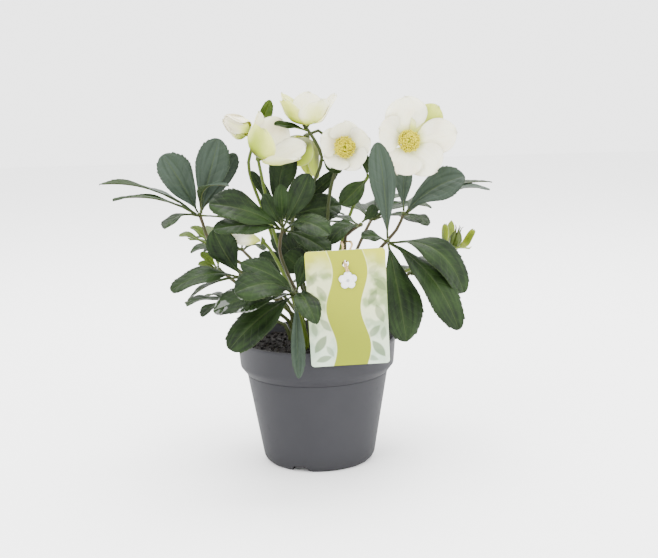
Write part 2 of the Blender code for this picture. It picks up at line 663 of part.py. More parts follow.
def build_pot(group, cutters):
    """The pot: a turned shell with collar, foot ring, notches and drain holes."""
    inner_floor = POT_FLOOR_Z + POT_FLOOR_THICKNESS
    profile = [
        (0, inner_floor), (FOOT_RADIUS - 1.0, inner_floor),
        (BODY_LOW_RADIUS - POT_WALL, inner_floor + 3.0),
        (BODY_TOP_RADIUS - POT_WALL, BODY_TOP_Z + 1.0),
        (COLLAR_RADIUS - POT_WALL, COLLAR_Z + 1.0),
        (RIM_RADIUS - 1.9, POT_TOP_Z - 0.7), (RIM_RADIUS - 1.3, POT_TOP_Z),
        (RIM_RADIUS - 0.6, POT_TOP_Z), (RIM_RADIUS, POT_TOP_Z - 0.8),
        (COLLAR_RADIUS, COLLAR_Z),
        (BODY_TOP_RADIUS + 0.6, BODY_TOP_Z + 0.5), (BODY_TOP_RADIUS, BODY_TOP_Z - 0.6),
        (BODY_LOW_RADIUS, BODY_LOW_Z), (BODY_LOW_RADIUS - 1.2, BODY_LOW_Z - 4.0),
        (FOOT_RADIUS, 0), (FOOT_RADIUS - FOOT_RING_WIDTH, 0),
        (FOOT_RADIUS - FOOT_RING_WIDTH - 0.5, POT_FLOOR_Z),
        (CENTRE_PAD_RADIUS + 0.5, POT_FLOOR_Z), (CENTRE_PAD_RADIUS, 0), (0, 0),
    ]
    mesh = weld(turned_mesh(profile, POT_SIDES))
    pot = finish_piece("pot", mesh, group, (0.145, 0.145, 0.155), 0.55)
    for angle in NOTCH_ANGLES:
        turn = Matrix.Rotation(math.radians(angle), 4, "Z")
        notch = bpy.data.meshes.new("notch")
        form = bmesh.new()
        bmesh.ops.create_cube(form, size=1.0)
        for vertex in form.verts:
            narrow = 0.72 if vertex.co.z > 0 else 1.0
            vertex.co.x = (FOOT_RADIUS + vertex.co.x * 18.0) * MM
            vertex.co.y *= NOTCH_WIDTH * narrow * MM
            vertex.co.z = (NOTCH_HEIGHT if vertex.co.z > 0 else -1.0) * MM
        form.to_mesh(notch)
        form.free()
        notch.transform(turn)
        cutters.objects.link(bpy.data.objects.new("cut_notch", notch))
        place = turn @ Matrix.Translation((DRAIN_CIRCLE * MM, 0, (POT_FLOOR_Z - 1.0) * MM))
        drain = round_mesh(DRAIN_RADIUS, DRAIN_RADIUS, 4.0, 16, place)
        cutters.objects.link(bpy.data.objects.new("cut_drain", drain))
    cut = pot.modifiers.new("cuts", "BOOLEAN")
    cut.operation = "DIFFERENCE"
    cut.operand_type = "COLLECTION"
    cut.collection = cutters
    for cutter in cutters.objects:
        cutter.hide_render = True
        cutter.display_type = "WIRE"
    return pot


def pot_inside(height):
    """The pot's inner radius at a height between its floor and its shoulder."""
    low = POT_FLOOR_Z + POT_FLOOR_THICKNESS + 3.0
    part = (height - low) / (BODY_TOP_Z + 1.0 - low)
    return BODY_LOW_RADIUS - POT_WALL + part * (BODY_TOP_RADIUS - BODY_LOW_RADIUS)


def build_soil(group, cutters, stems):
    """The soil: it fills the pot to below the rim, lumpy, with a hole for each stem's foot."""
    floor = POT_FLOOR_Z + POT_FLOOR_THICKNESS + SOIL_GAP
    top_radius = COLLAR_RADIUS - POT_WALL + 0.2
    profile = [
        (0, SOIL_TOP_Z), (SOIL_LEVEL_RADIUS, SOIL_TOP_Z), (top_radius - 5, SOIL_TOP_Z - 1.2),
        (top_radius, SOIL_TOP_Z - 2.6), (COLLAR_RADIUS - POT_WALL - SOIL_SIDE_GAP, COLLAR_Z + 1.2),
        (pot_inside(BODY_TOP_Z) - SOIL_SIDE_GAP, BODY_TOP_Z + 0.4),
        (pot_inside(12.0) - SOIL_SIDE_GAP, 12.0),
        (FOOT_RADIUS - 3.0, floor), (0, floor),
    ]
    mesh = weld(turned_mesh(profile, SOIL_SIDES))
    form = bmesh.new()
    form.from_mesh(mesh)
    for vertex in form.verts:
        x, y, z = vertex.co / MM
        if z > SOIL_TOP_Z - 2.0 and math.hypot(x, y) > SOIL_LEVEL_RADIUS + 1.0:
            vertex.co.z += SOIL_LUMP * MM * math.sin(x * 0.31 + 1.0) * math.cos(y * 0.27)
    form.to_mesh(mesh)
    form.free()
    soil = finish_piece("soil", mesh, group, (0.035, 0.025, 0.018), 0.95)
    for x, y, radius in stems:
        place = Matrix.Translation((x * MM, y * MM, (SOIL_TOP_Z - FOOT_DEPTH) * MM))
        hole = round_mesh(radius, radius, FOOT_DEPTH + 6.0, 6, place)
        cutters.objects.link(bpy.data.objects.new("cut_stem", hole))
    cut = soil.modifiers.new("holes", "BOOLEAN")
    cut.operation = "DIFFERENCE"
    cut.operand_type = "COLLECTION"
    cut.collection = cutters
    for cutter in cutters.objects:
        cutter.hide_render = True
        cutter.display_type = "WIRE"
    return soil


def card_frame():
    """The card's matrix: its foot at the pot's collar, leaning out and a little turned."""
    turn = Matrix.Rotation(math.radians(CARD_LEAN), 4, "X")
    roll = Matrix.Rotation(math.radians(-CARD_ROLL), 4, "Y")
    return Matrix.Translation(Vector(CARD_FOOT) * MM) @ turn @ roll


def card_point(x, out, z):
    """A point in millimetres from the card's place: across, out of its face, and up."""
    return (card_frame() @ (Vector((x, -out, z)) * MM)) / MM


def build_tag(group):
    """The card, its twine round a leaf stem and the flower charm on the twine's knot."""
    curve = bpy.data.curves.new("card", "CURVE")
    curve.dimensions = "2D"
    curve.fill_mode = "BOTH"
    curve.extrude = CARD_THICKNESS / 2 * MM
    outline = curve.splines.new("POLY")
    corners = []
    for x, z, start in ((1, 1, 0), (-1, 1, 90), (-1, -1, 180), (1, -1, 270)):
        for step in range(4):
            angle = math.radians(start + 30 * step)
            corners.append((x * (CARD_WIDTH / 2 - CARD_CORNER) + CARD_CORNER * math.cos(angle),
                            z * (CARD_HEIGHT / 2 - CARD_CORNER) + CARD_CORNER * math.sin(angle)))
    outline.points.add(len(corners) - 1)
    for point, (x, z) in zip(outline.points, corners):
        point.co = (x * MM, z * MM, 0, 1)
    outline.use_cyclic_u = True
    bore = curve.splines.new("POLY")
    bore.points.add(11)
    hole_z = CARD_HEIGHT / 2 - CARD_HOLE_FROM_TOP
    for step, point in enumerate(bore.points):
        angle = math.radians(30 * step)
        point.co = (CARD_HOLE_RADIUS * math.cos(angle) * MM,
                    (hole_z + CARD_HOLE_RADIUS * math.sin(angle)) * MM, 0, 1)
    bore.use_cyclic_u = True
    card = bpy.data.objects.new("card", curve)
    bpy.context.scene.collection.objects.link(card)
    card.matrix_world = (card_frame() @ Matrix.Translation((0, 0, CARD_HEIGHT / 2 * MM))
                         @ Matrix.Rotation(math.radians(90), 4, "X"))
    finish_piece("tag_card", weld(evaluated_mesh(card)), group, (0.62, 0.66, 0.24), 0.4)

    hole_up = CARD_HEIGHT - CARD_HOLE_FROM_TOP
    left = [card_point(-0.9, -2.0, hole_up + 0.4), card_point(-1.6, -3.2, hole_up + 5),
            Vector((21.6, -62, 184.5)), Vector((21.2, -42, 184)), Vector((21.0, -33, 183.2))]
    behind = [Vector((22.4, -27.4, 183.0)), Vector((25.4, -26.0, 183.0)),
              Vector((28.4, -28.4, 183.2))]
    right = [Vector((28.6, -38, 184)), Vector((28.4, -62, 184.5)),
             card_point(1.8, -3.3, hole_up + 5), card_point(1.0, -2.0, hole_up + 0.4)]
    front = [card_point(0.2, 0.0, hole_up), card_point(0.6, 2.4, hole_up - 2.6),
             card_point(1.4, 3.2, hole_up - 4.9)]
    points = smooth_path([card_point(-0.9, 0.2, hole_up)] + left + behind + right, 12.0)
    twine = [tube_mesh(points, TWINE_RADIUS, 1),
             tube_mesh(smooth_path(front, 2.0), TWINE_RADIUS * 1.5, 1)]
    union("tag_twine", twine, group, (0.75, 0.58, 0.38), 0.9)

    centre = card_frame() @ Matrix.Translation(
        (1.2 * MM, -(CARD_THICKNESS / 2 + 0.35 + CHARM_THICKNESS) * MM, (hole_up - 12.5) * MM))
    charm = bpy.data.meshes.new("charm")
    form = bmesh.new()
    bmesh.ops.create_cone(form, cap_ends=True, segments=20, radius1=CHARM_RADIUS * MM,
                          radius2=CHARM_RADIUS * MM, depth=CHARM_THICKNESS * MM)
    for vertex in form.verts:
        angle = math.atan2(vertex.co.y, vertex.co.x)
        lobe = 0.72 + 0.28 * abs(math.cos(2.5 * (angle - math.radians(90)))) ** 0.8
        vertex.co.x *= lobe
        vertex.co.y *= lobe
    form.to_mesh(charm)
    form.free()
    charm.transform(centre @ Matrix.Translation((0, CHARM_THICKNESS / 2 * MM, 0))
                    @ Matrix.Rotation(math.radians(90), 4, "X"))
    finish_piece("tag_charm", charm, group, (0.85, 0.85, 0.83), 0.5)


def main():
    """Build the whole plant."""
    clear_scene()
    group = collection("hellebore_plant")
    pot_cutters = collection("cutters_pot")
    soil_cutters = collection("cutters_soil")
    stems = []
    for name, spec in LEAVES.items():
        colour = SLATE_GREEN if "high" in name else LEAF_GREEN
        if "young" in name or "small" in name:
            colour = YOUNG_GREEN
        build_leaf(name, spec, group, colour)
        stems.append((*spec["stem"][0], PETIOLE_RADIUS + HOLE_GAP))
    for name, spec in BLOOMS.items():
        build_bloom(name, spec, group)
        stems.append((*spec["stem"][0], STALK_RADIUS + HOLE_GAP))
    build_bud(group)
    stems.append((*BUD_STEM[0], STALK_RADIUS + HOLE_GAP))
    build_seed_head(group)
    stems.append((*HEAD_STEM[0], STALK_RADIUS + HOLE_GAP))
    build_tag(group)
    build_pot(group, pot_cutters)
    build_soil(group, soil_cutters, stems)


main()
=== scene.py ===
"""The looks of the potted hellebore: leaves, flowers, pot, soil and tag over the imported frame.

The tables follow the part's own, in millimetres, with a few leaflets and petals refined.
MM turns them into Blender's metres.
"""
import math
import random

import bmesh
import bpy
import numpy as np
from mathutils import Matrix, Vector


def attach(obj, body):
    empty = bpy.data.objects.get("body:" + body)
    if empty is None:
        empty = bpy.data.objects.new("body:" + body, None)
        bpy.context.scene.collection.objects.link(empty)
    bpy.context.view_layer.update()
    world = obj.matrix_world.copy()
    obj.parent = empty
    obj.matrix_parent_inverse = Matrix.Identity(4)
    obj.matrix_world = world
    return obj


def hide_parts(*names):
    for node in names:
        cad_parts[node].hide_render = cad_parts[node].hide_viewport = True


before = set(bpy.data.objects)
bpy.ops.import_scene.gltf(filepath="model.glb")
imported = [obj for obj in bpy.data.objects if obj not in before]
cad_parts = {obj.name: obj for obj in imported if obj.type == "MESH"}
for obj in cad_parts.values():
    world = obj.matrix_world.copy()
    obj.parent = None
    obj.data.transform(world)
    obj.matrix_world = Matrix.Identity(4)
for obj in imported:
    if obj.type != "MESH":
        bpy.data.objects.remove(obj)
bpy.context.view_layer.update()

MM = 0.001
SEED = 7

# Camera, fitted to the photograph's pot
CAMERA_BACK = 893.0
CAMERA_HEIGHT = 301.0
CAMERA_PITCH = 9.66
CAMERA_YAW = 0.73
CAMERA_ROLL = -1.43
CAMERA_LENS = 60.84

# Pot
POT_TOP_Z = 102.3
RIM_RADIUS = 65.0
COLLAR_Z = 79.2
COLLAR_RADIUS = 62.8
BODY_TOP_Z = 74.5
BODY_TOP_RADIUS = 57.9
BODY_LOW_Z = 6.7
BODY_LOW_RADIUS = 46.3
FOOT_RADIUS = 42.0
POT_WALL = 1.4
POT_FLOOR_Z = 4.8
POT_FLOOR_THICKNESS = 1.6
POT_INSIDE_Z = POT_FLOOR_Z + POT_FLOOR_THICKNESS
FOOT_RING_WIDTH = 3.6
CENTRE_PAD_RADIUS = 12.0
POT_SIDES = 160
NOTCH_WIDTH = 16.0
NOTCH_HEIGHT = 4.75
NOTCH_ANGLES = (-111.0, 9.0, 129.0)
DRAIN_RADIUS = 4.0
DRAIN_CIRCLE = 25.0
# The pot's wall as radius and height: up its inside, over the rim and down its outside
POT_PROFILE = (
    (0.5, POT_INSIDE_Z), (FOOT_RADIUS - 1.0, POT_INSIDE_Z),
    (BODY_LOW_RADIUS - POT_WALL, POT_INSIDE_Z + 3.0),
    (BODY_TOP_RADIUS - POT_WALL, BODY_TOP_Z + 1.0), (COLLAR_RADIUS - POT_WALL, COLLAR_Z + 1.0),
    (RIM_RADIUS - 1.9, POT_TOP_Z - 0.7), (RIM_RADIUS - 1.7, POT_TOP_Z - 0.2),
    (RIM_RADIUS - 1.2, POT_TOP_Z), (RIM_RADIUS - 0.7, POT_TOP_Z),
    (RIM_RADIUS - 0.2, POT_TOP_Z - 0.3), (RIM_RADIUS, POT_TOP_Z - 0.9),
    (RIM_RADIUS - 0.1, POT_TOP_Z - 2.4), (RIM_RADIUS - 0.5, POT_TOP_Z - 3.1),
    (COLLAR_RADIUS + 0.2, COLLAR_Z + 2.6), (COLLAR_RADIUS - 0.1, COLLAR_Z + 1.0),
    (COLLAR_RADIUS - 1.1, COLLAR_Z - 0.3), (BODY_TOP_RADIUS + 1.2, BODY_TOP_Z + 1.0),
    (BODY_TOP_RADIUS + 0.5, BODY_TOP_Z + 0.3), (BODY_TOP_RADIUS + 0.3, BODY_TOP_Z - 0.2),
    (BODY_TOP_RADIUS - 0.6, BODY_TOP_Z - 0.5), (BODY_TOP_RADIUS - 0.25, BODY_TOP_Z - 1.1),
    (BODY_LOW_RADIUS, BODY_LOW_Z), (BODY_LOW_RADIUS - 0.5, BODY_LOW_Z - 2.2),
    (BODY_LOW_RADIUS - 1.6, BODY_LOW_Z - 4.4), (FOOT_RADIUS + 0.6, 0.3), (FOOT_RADIUS, 0.0),
    (FOOT_RADIUS - FOOT_RING_WIDTH, 0.0), (FOOT_RADIUS - FOOT_RING_WIDTH - 0.5, POT_FLOOR_Z),
    (CENTRE_PAD_RADIUS + 0.5, POT_FLOOR_Z), (CENTRE_PAD_RADIUS, 0.0), (0.5, 0.0))

# Soil
SOIL_TOP_Z = 96.0
SOIL_GAP = 0.3
FOOT_DEPTH = 9.0
HOLE_GAP = 0.45
STRAIGHT_ABOVE_SOIL = 3.0
SOIL_RADIUS = COLLAR_RADIUS - POT_WALL + 0.3
SOIL_RINGS = 30
SOIL_SIDES = 96
CRUMBS = 900

# Blades and stems
BLADE_THICKNESS = 0.5
PETIOLE_RADIUS = 1.6
STALK_RADIUS = 1.6
STEM_SPACING = 7.0
HUB_RADIUS = 1.9
ROOT_START = 2.0
BLADE_BASE_WIDTH = 1.3
WIDEST_AT = 0.64
FOOT_POWER = 0.9
TIP_POWER = 0.5
SMALL_LEAFLET = 18
TEETH = 10
SMALL_TEETH = 7
TEETH_FROM = 0.48
TOOTH_ROWS = (0.0, 0.4, 0.75, 0.93)
TOOTH_SHAPE = (0.0, 0.5, 0.88, 1.0)
VEIN_SPACING = 7.5
BLADE_COLUMNS = (0.0, 0.07, 0.17, 0.31, 0.47, 0.63, 0.78, 0.9, 1.0)
FAN_SPREAD = 32.0
BRACT_FOLD = 0.25

# Blooms
RECEPTACLE_RADIUS = 3.2
DISC_HEIGHT = 1.3
PETAL_ROOT_ANGLE = 78.0
OPEN_BEND = 1.7
PETAL_STEPS = 24
PETAL_ROWS = 30
PETAL_COLUMNS = 21
PETAL_WIDEST_AT = 0.6
PETAL_HOLLOW_RADIUS = 8.0
PETAL_ROOT_WIDTH = 3.4
PETAL_ROOT_RADIUS = 3.0
PETAL_THICKNESS = 0.45
NECTARIES = 14
CARPELS = 6
PODS = 5
GOLDEN_TURN = 2.39996
FILAMENT_RADII = (0.24, 0.22, 0.2, 0.18, 0.16)

# Tag
CARD_THICKNESS = 0.8
CARD_FOOT = (25.6, -66.9, 93.5)
CARD_LEAN = 7.0
CARD_ROLL = 2.0
CARD_HOLE_UP = 80.5
TWINE_RADIUS = 0.8
TWIST_STEP = 0.9
TWINE_ROUND_STEM = (
    (21.6, -62, 184.5), (21.2, -42, 184), (21.0, -33, 183.2), (22.4, -27.4, 183.0),
    (25.4, -26.0, 183.0), (28.4, -28.4, 183.2), (28.6, -38, 184), (28.4, -62, 184.5))
# Leaves printed on the card: place, size, turn and strength
PRINTED_LEAVES = (
    ((-22, 18), 8.5, 55, 0.75), ((-17, 33), 7.0, 130, 0.6), ((-24, 44), 8.0, 70, 0.55),
    ((-20, 6), 6.5, 15, 0.7), ((-26, 30), 6.0, 100, 0.5), ((-15, 12), 5.5, 120, 0.5),
    ((-19, 58), 7.5, 115, 0.5), ((-25, 70), 7.0, 60, 0.45), ((22, 12), 8.5, 125, 0.75),
    ((19, 26), 7.0, 45, 0.65), ((24, 40), 8.0, 110, 0.6), ((19, 53), 7.0, 60, 0.55),
    ((26, 24), 6.0, 80, 0.5), ((16, 5), 6.0, 160, 0.55), ((25, 63), 7.0, 130, 0.5),
    ((20, 75), 6.0, 40, 0.4))
CHARM_RADIUS = 7.0
CHARM_THICKNESS = 2.4
CHARM_DROP = 12.5
CHARM_RINGS = 9
CHARM_SIDES = 80

# Leaves: the stem's points from its foot in the soil to the hub, then the leaflets as
# tip, width, the way the upper face looks, arch, and fold (edges up from the midrib)
LEAVES = {
    "leaf_left_high": ([(-13, -5), (-16, -6, 118), (-50, -13, 151), (-80, -9, 177), (-91, -5, 205)], [
        ((-117, -14, 254), 28, (0.3, -0.8, 0.5), 0.05, 0.15),
        ((-73, -6, 265), 27, (-0.1, -0.95, 0.35), 0.05, 0.12),
        ((-61, 12, 252), 18, (0.5, -0.7, 0.3), 0.05, 0.2),
        ((-65, -28, 229), 15, (0.0, -0.3, 1.0), 0.30, 0.2),
        ((-173, 12, 230), 22, (-0.1, 0.15, 1.0), 0.10, 0.2),
        ((-158, -16, 220), 20, (0.0, 0.1, 1.0), 0.10, 0.2),
        ((-114, -45, 199), 15, (-0.1, 0.1, 1.0), 0.12, 0.2),
        ((-52, -36, 201), 13, (0.0, 0.1, 1.0), 0.03, 0.2)]),
    "leaf_left_small": ([(-20, 8), (-23, 8, 125), (-56, 14, 158), (-84, 14, 176)], [
        ((-109, 2, 188), 11, (0.1, -0.1, 1.0), 0.08, 0.3),
        ((-101, 18, 193), 11, (0.1, -0.1, 1.0), 0.08, 0.3),
        ((-104, 32, 180), 13, (0.0, 0.0, 1.0), 0.10, 0.2),
        ((-86, 38, 190), 13, (0.0, 0.0, 1.0), 0.10, 0.2)]),
    "leaf_left_young": ([(-18, -1), (-22, -2, 115), (-52, -22, 143), (-75, -30, 164)], [
        ((-89, -30, 178), 9, (0.4, -0.7, 0.4), 0.05, 0.4),
        ((-92, -24, 168), 8, (0.2, -0.5, 0.8), 0.10, 0.4),
        ((-78, -22, 180), 8, (0.5, -0.7, 0.2), 0.05, 0.4)]),
    "leaf_left_middle": ([(-9, -15), (-12, -18, 116), (-34, -38, 144), (-57, -50, 162)], [
        ((-108, -74, 156), 25, (-0.25, -0.55, 0.8), 0.16, 0.12),
        ((-98, -58, 145), 14, (-0.1, 0.1, 1.0), 0.10, 0.2),
        ((-76, -58, 199), 24, (-0.2, -0.9, 0.4), 0.08, 0.12)]),
    "leaf_front_left": ([(3, -19), (4, -22, 115), (2, -46, 140), (-15, -62, 149)], [
        ((-65, -88, 113), 33, (-0.3, -0.8, 0.6), 0.12, 0.1),
        ((-76, -86, 142), 27, (-0.15, -0.75, 0.7), 0.13, 0.1),
        ((-58, -101, 158), 27, (-0.1, -0.65, 0.75), 0.15, 0.1),
        ((-55, -77, 176), 22, (0.1, -0.75, 0.65), 0.16, 0.1),
        ((0, -109, 135), 18, (0.15, -0.75, 0.6), 0.20, 0.15),
        ((-14, -83, 88), 14, (0.1, -1.0, 0.2), 0.08, 0.8),
        ((-4, -67, 179), 15, (0.0, -1.0, 0.3), 0.05, 0.2)]),
    "leaf_centre": ([(-5, -8), (-7, -10, 122), (-22, -27, 160), (-27, -37, 180), (-24, -40, 196)], [
        ((-78, -62, 219), 29, (-0.1, -0.7, 0.7), 0.12, 0.12),
        ((-24, -47, 231), 14, (0.0, -1.0, 0.2), 0.05, 0.6),
        ((-37, -45, 224), 13, (-0.1, -0.9, 0.3), 0.08, 0.2),
        ((-2, -26, 237), 20, (0.1, -1.0, 0.1), 0.05, 0.2),
        ((12, -68, 194), 22, (0.2, -0.6, 0.75), 0.20, 0.15),
        ((12, -54, 178), 21, (0.3, -0.75, 0.6), 0.08, 0.15),
        ((-75, -64, 200), 21, (-0.2, -0.75, 0.6), 0.12, 0.15)]),
    "leaf_centre_back": ([(-5, 11), (-6, 11, 122), (-18, 13, 165), (-27, 13, 198)], [
        ((-16, 8, 258), 25, (-0.6, -0.8, 0.1), 0.12, 0.12),
        ((21, 9, 236), 12, (-0.4, -0.9, 0.3), -0.08, 0.2),
        ((23, 11, 208), 26, (0.1, -0.9, 0.4), 0.08, 0.15),
        ((12, 7, 176), 15, (0.1, -0.8, 0.5), 0.05, 0.2),
        ((-49, 6, 238), 9, (-0.3, -0.9, 0.2), 0.05, 0.3)]),
    "leaf_middle_low": ([(-1, -2), (-1, -4, 118), (-2, -9, 138), (-5, -14, 154)], [
        ((-24, -13, 172), 24, (-0.1, -0.9, 0.4), 0.05, 0.15),
        ((-8, -8, 180), 20, (0.0, -0.9, 0.4), 0.05, 0.15),
        ((-33, 6, 187), 18, (-0.1, -0.9, 0.3), 0.06, 0.2),
        ((-45, 2, 170), 17, (-0.1, -0.8, 0.5), 0.06, 0.2),
        ((-18, 4, 190), 16, (0.1, -0.9, 0.3), 0.05, 0.2)]),
    "leaf_right_low": ([(10, -13), (12, -15, 115), (36, -30, 155), (50, -38, 177), (57, -42, 185)], [
        ((50, -47, 261), 21, (0.0, -1.0, 0.15), 0.05, 0.15),
        ((113, -62, 146), 29, (0.35, -0.6, 0.75), 0.28, 0.1),
        ((107, -78, 121), 29, (0.3, -0.75, 0.6), 0.15, 0.1),
        ((69, -62, 109), 33, (0.15, -0.95, 0.35), 0.10, 0.08),
        ((36, -58, 190), 13, (0.0, -0.6, 0.8), 0.10, 0.15)]),
    "leaf_right_high": ([(17, -3), (19, -3, 120), (50, 0, 168), (67, 0, 188), (73, 0, 201)], [
        ((121, -10, 231), 28, (-0.3, -0.75, 0.65), 0.10, 0.15),
        ((145, 14, 218), 20, (-0.1, -0.3, 1.0), 0.12, 0.15),
        ((150, 34, 222), 14, (0.0, -0.1, 1.0), 0.10, 0.2),
        ((76, 14, 242), 15, (0.0, -1.0, 0.1), 0.05, 0.2),
        ((90, -26, 194), 13, (0.0, -0.2, 1.0), 0.10, 0.2),
        ((104, 44, 210), 20, (0.0, 0.1, 1.0), 0.10, 0.15)]),
    "leaf_behind_tag": ([(7, -5), (9, -7, 118), (19, -25, 158), (24, -30, 176), (25, -30, 188),
                         (37, -26, 196)], [
        ((11, -44, 184), 15, (0.1, -0.5, 0.9), 0.22, 0.15),
        ((15, -8, 201), 11, (0.1, -0.1, 1.0), 0.06, 0.2),
        ((49, -24, 211), 10, (0.5, -0.8, 0.3), 0.05, 0.4),
        ((15, -30, 193), 14, (0.1, -0.4, 1.0), 0.15, 0.2)]),
}


def fan(hub, heading, size, lift, count):
    """Leaflets of a leaf whose shape follows the species' rule: a fan round the hub."""
    blades = []
    for index in range(count):
        step = index - (count - 1) / 2
        turn = math.radians(heading + step * FAN_SPREAD)
        length = size * (1 - 0.085 * abs(step) + 0.012 * index)
        rise = math.radians(lift + 7 * (index % 2) - 4 * abs(step) + 0.9 * index)
        out = Vector((math.cos(turn), math.sin(turn), 0))
        tip = Vector(hub) + out * length * math.cos(rise) + Vector((0, 0, length * math.sin(rise)))
        face = (0.25 * out.x, 0.25 * out.y, 1.0)
        blades.append((tuple(tip), 0.36 * length, face, 0.13, 0.15))
    return blades


# Leaves at the back: the stem's points, then the fan's heading, size, lift and count
FAN_LEAVES = {
    "leaf_back_middle": ([(-3, 18), (-4, 22, 118), (-6, 58, 160), (-8, 74, 184)], 94, 58, 4, 6),
    "leaf_back_right": ([(12, 14), (14, 18, 118), (36, 46, 165), (50, 60, 190)], 48, 60, 8, 6),
    "leaf_back_left": ([(-13, 15), (-16, 18, 118), (-44, 40, 150), (-62, 52, 168)], 142, 48, 2, 6),
    "leaf_right_back_low": ([(20, 9), (23, 11, 112), (60, 26, 132), (80, 36, 146)], 22, 52, -4, 5),
    "leaf_left_back_low": ([(-22, 16), (-26, 18, 108), (-54, 26, 118), (-70, 30, 126)],
                           165, 42, -4, 5),
    "leaf_back_low": ([(4, 24), (5, 30, 108), (10, 56, 126), (14, 72, 134)], 82, 54, -4, 5),
}
LEAVES.update({name: (stem, fan(stem[-1], *rule)) for name, (stem, *rule) in FAN_LEAVES.items()})
YOUNG_LEAVES = ("leaf_left_small", "leaf_left_young")
# Leaflets with a greyer, wax-like upper face: partly their own grey-green tone, partly painted sheen,
# the reflection these upward-facing leaflets catch
SHEEN_LEAFLETS = {"leaf_left_high": (0, 1, 2, 3, 4), "leaf_right_high": (0, 1, 3), "leaf_right_low": (0,),
         "leaf_front_left": (5,)}
# Leaflets that are wet
WET = {"leaf_front_left": (1,)}
PALE_BRACTS = ("bloom_far_left",)
DARK_STALKS = ("bloom_top", "bloom_hanging", "bloom_middle")

# Blooms: stalk points from the soil to the flower's base, the way it opens, how soon its petals
# bend where that isn't OPEN_BEND, how green each petal is, its stamens as count and splay, and
# the petals as turn about that axis, length, width and angle from the axis at the tip. A bract
# is its root, tip, width, the way its face looks and its arch
BLOOMS = {
    "bloom_right": {
        "stem": [(8, 3), (10, 3, 120), (24, -4, 185), (36, -6, 217), (44, -5, 231),
                 (59, -3, 244), (76, -14, 259)],
        "axis": (0.03, -0.97, 0.12),
        "green": (0.15, 0.1, 0.85, 0.1, 0.1, 0.1),
        "stamens": (190, 34),
        "petals": [(160, 31, 30, 38), (97, 36, 34, 52), (48, 34, 24, 66), (8, 37, 28, 62),
                   (-50, 32, 30, 58), (-112, 30, 32, 50)],
        "bracts": [((44, -5, 231), (22, -16, 211), 17, (0.2, -0.9, 0.4), 0.15),
                   ((44, -5, 231), (42, -8, 251), 7, (0.0, -1.0, 0.1), 0.03)],
    },
    "bloom_middle": {
        "stem": [(3, 5), (4, 4, 120), (10, 1, 180), (13, 0, 214), (19, -2, 238), (26, -8, 255)],
        "axis": (0.03, -0.98, 0.15),
        "green": (0.1, 0.1, 0.15, 0.1, 0.1),
        "stamens": (160, 32),
        "petals": [(90, 22, 24, 40), (18, 22, 24, 42), (-54, 22, 24, 42), (-126, 22, 22, 42),
                   (162, 22, 24, 44)],
    },
    "bloom_top": {
        "stem": [(-3, 3), (-4, 3, 122), (-17, 2, 180), (-14, 0, 206), (3, 0, 232), (8, 0, 248),
                 (3, 0, 261), (-4, 1, 274)],
        "axis": (0.05, -0.20, 1.0),
        "green": (0.62, 0.3, 0.3, 0.6, 0.7),
        "stamens": (60, 30),
        "petals": [(218, 31, 23, 27), (300, 33, 29, 24), (8, 33, 20, 26), (84, 29, 24, 20),
                   (156, 31, 24, 24)],
        "bracts": [((8, 0, 246), (22, -16, 236), 13, (0.1, -0.7, 0.7), 0.15),
                   ((-3, 0, 270), (-29, -8, 275), 10, (0.0, -0.4, 1.0), 0.03)],
    },
    "bloom_left": {
        "stem": [(-10, 2), (-12, 2, 122), (-31, -4, 185), (-37, -10, 217), (-40, -13, 235),
                 (-41, -16, 250)],
        "axis": (0.60, -0.30, 0.72),
        "green": (0.6, 0.8, 0.35, 0.45, 0.5),
        "stamens": (60, 30),
        "petals": [(100, 36, 28, 18), (172, 36, 30, 16), (250, 39, 27, 34), (322, 37, 27, 28),
                   (30, 37, 29, 24)],
    },
    "bloom_far_left": {
        "stem": [(-14, 8), (-16, 8, 122), (-36, 12, 190), (-51, 16, 236), (-49, 17, 254),
                 (-47, 17, 263), (-51, 17, 268)],
        "axis": (-0.80, -0.20, 0.55),
        "bend": 2.2,
        "green": (0.15, 0.3, 0.35, 0.25, 0.3),
        "stamens": (30, 10),
        "petals": [(90, 27, 17, -24), (18, 27, 17, -24), (-54, 27, 17, -24), (-126, 27, 17, -24),
                   (162, 27, 17, -24)],
        "bracts": [((-47.5, 17, 261), (-32, 11, 294), 11, (0.3, -0.9, 0.3), 0.03)],
    },
    "bloom_hanging": {
        "stem": [(2, 13), (2, 14, 122), (12, 28, 200), (16, 34, 238), (14, 34, 258),
                 (6, 33, 268), (-4, 31, 263)],
        "axis": (-0.42, -0.12, -0.90),
        "bend": 2.0,
        "green": (1.3, 1.2, 1.3, 1.3, 1.2),
        "stamens": (30, 20),
        "petals": [(90, 36, 24, 24), (18, 36, 24, 24), (-54, 36, 24, 22), (-126, 36, 24, 22),
                   (162, 36, 24, 24)],
    },
}

BUD_STEM = [(-8, -21), (-10, -24, 115), (-24, -40, 160), (-34, -44, 181), (-41, -45, 188)]
BUD_AXIS = (-0.97, -0.1, 0.2)
BUD_LENGTH = 26.0
BUD_RADIUS = 6.2
BUD_ROWS = 28
BUD_SIDES = 60
HEAD_STEM = [(23, 2), (25, 2, 114), (62, 8, 146), (96, 4, 161), (112, -3, 170)]
HEAD_AXIS = (0.25, -0.05, 0.97)
HEAD_PETALS = ((20, 22, 9, 16), (110, 24, 9, 12), (200, 22, 9, 10), (290, 24, 9, 74))

# Kinds: is it an upper face, its tone, and how green it is; on leaflets a tone of 1 brings in the
# painted sheen grey
PLAIN = (1.0, 0.5, 0.0)
GREEN = (1.0, 0.0, 1.0)

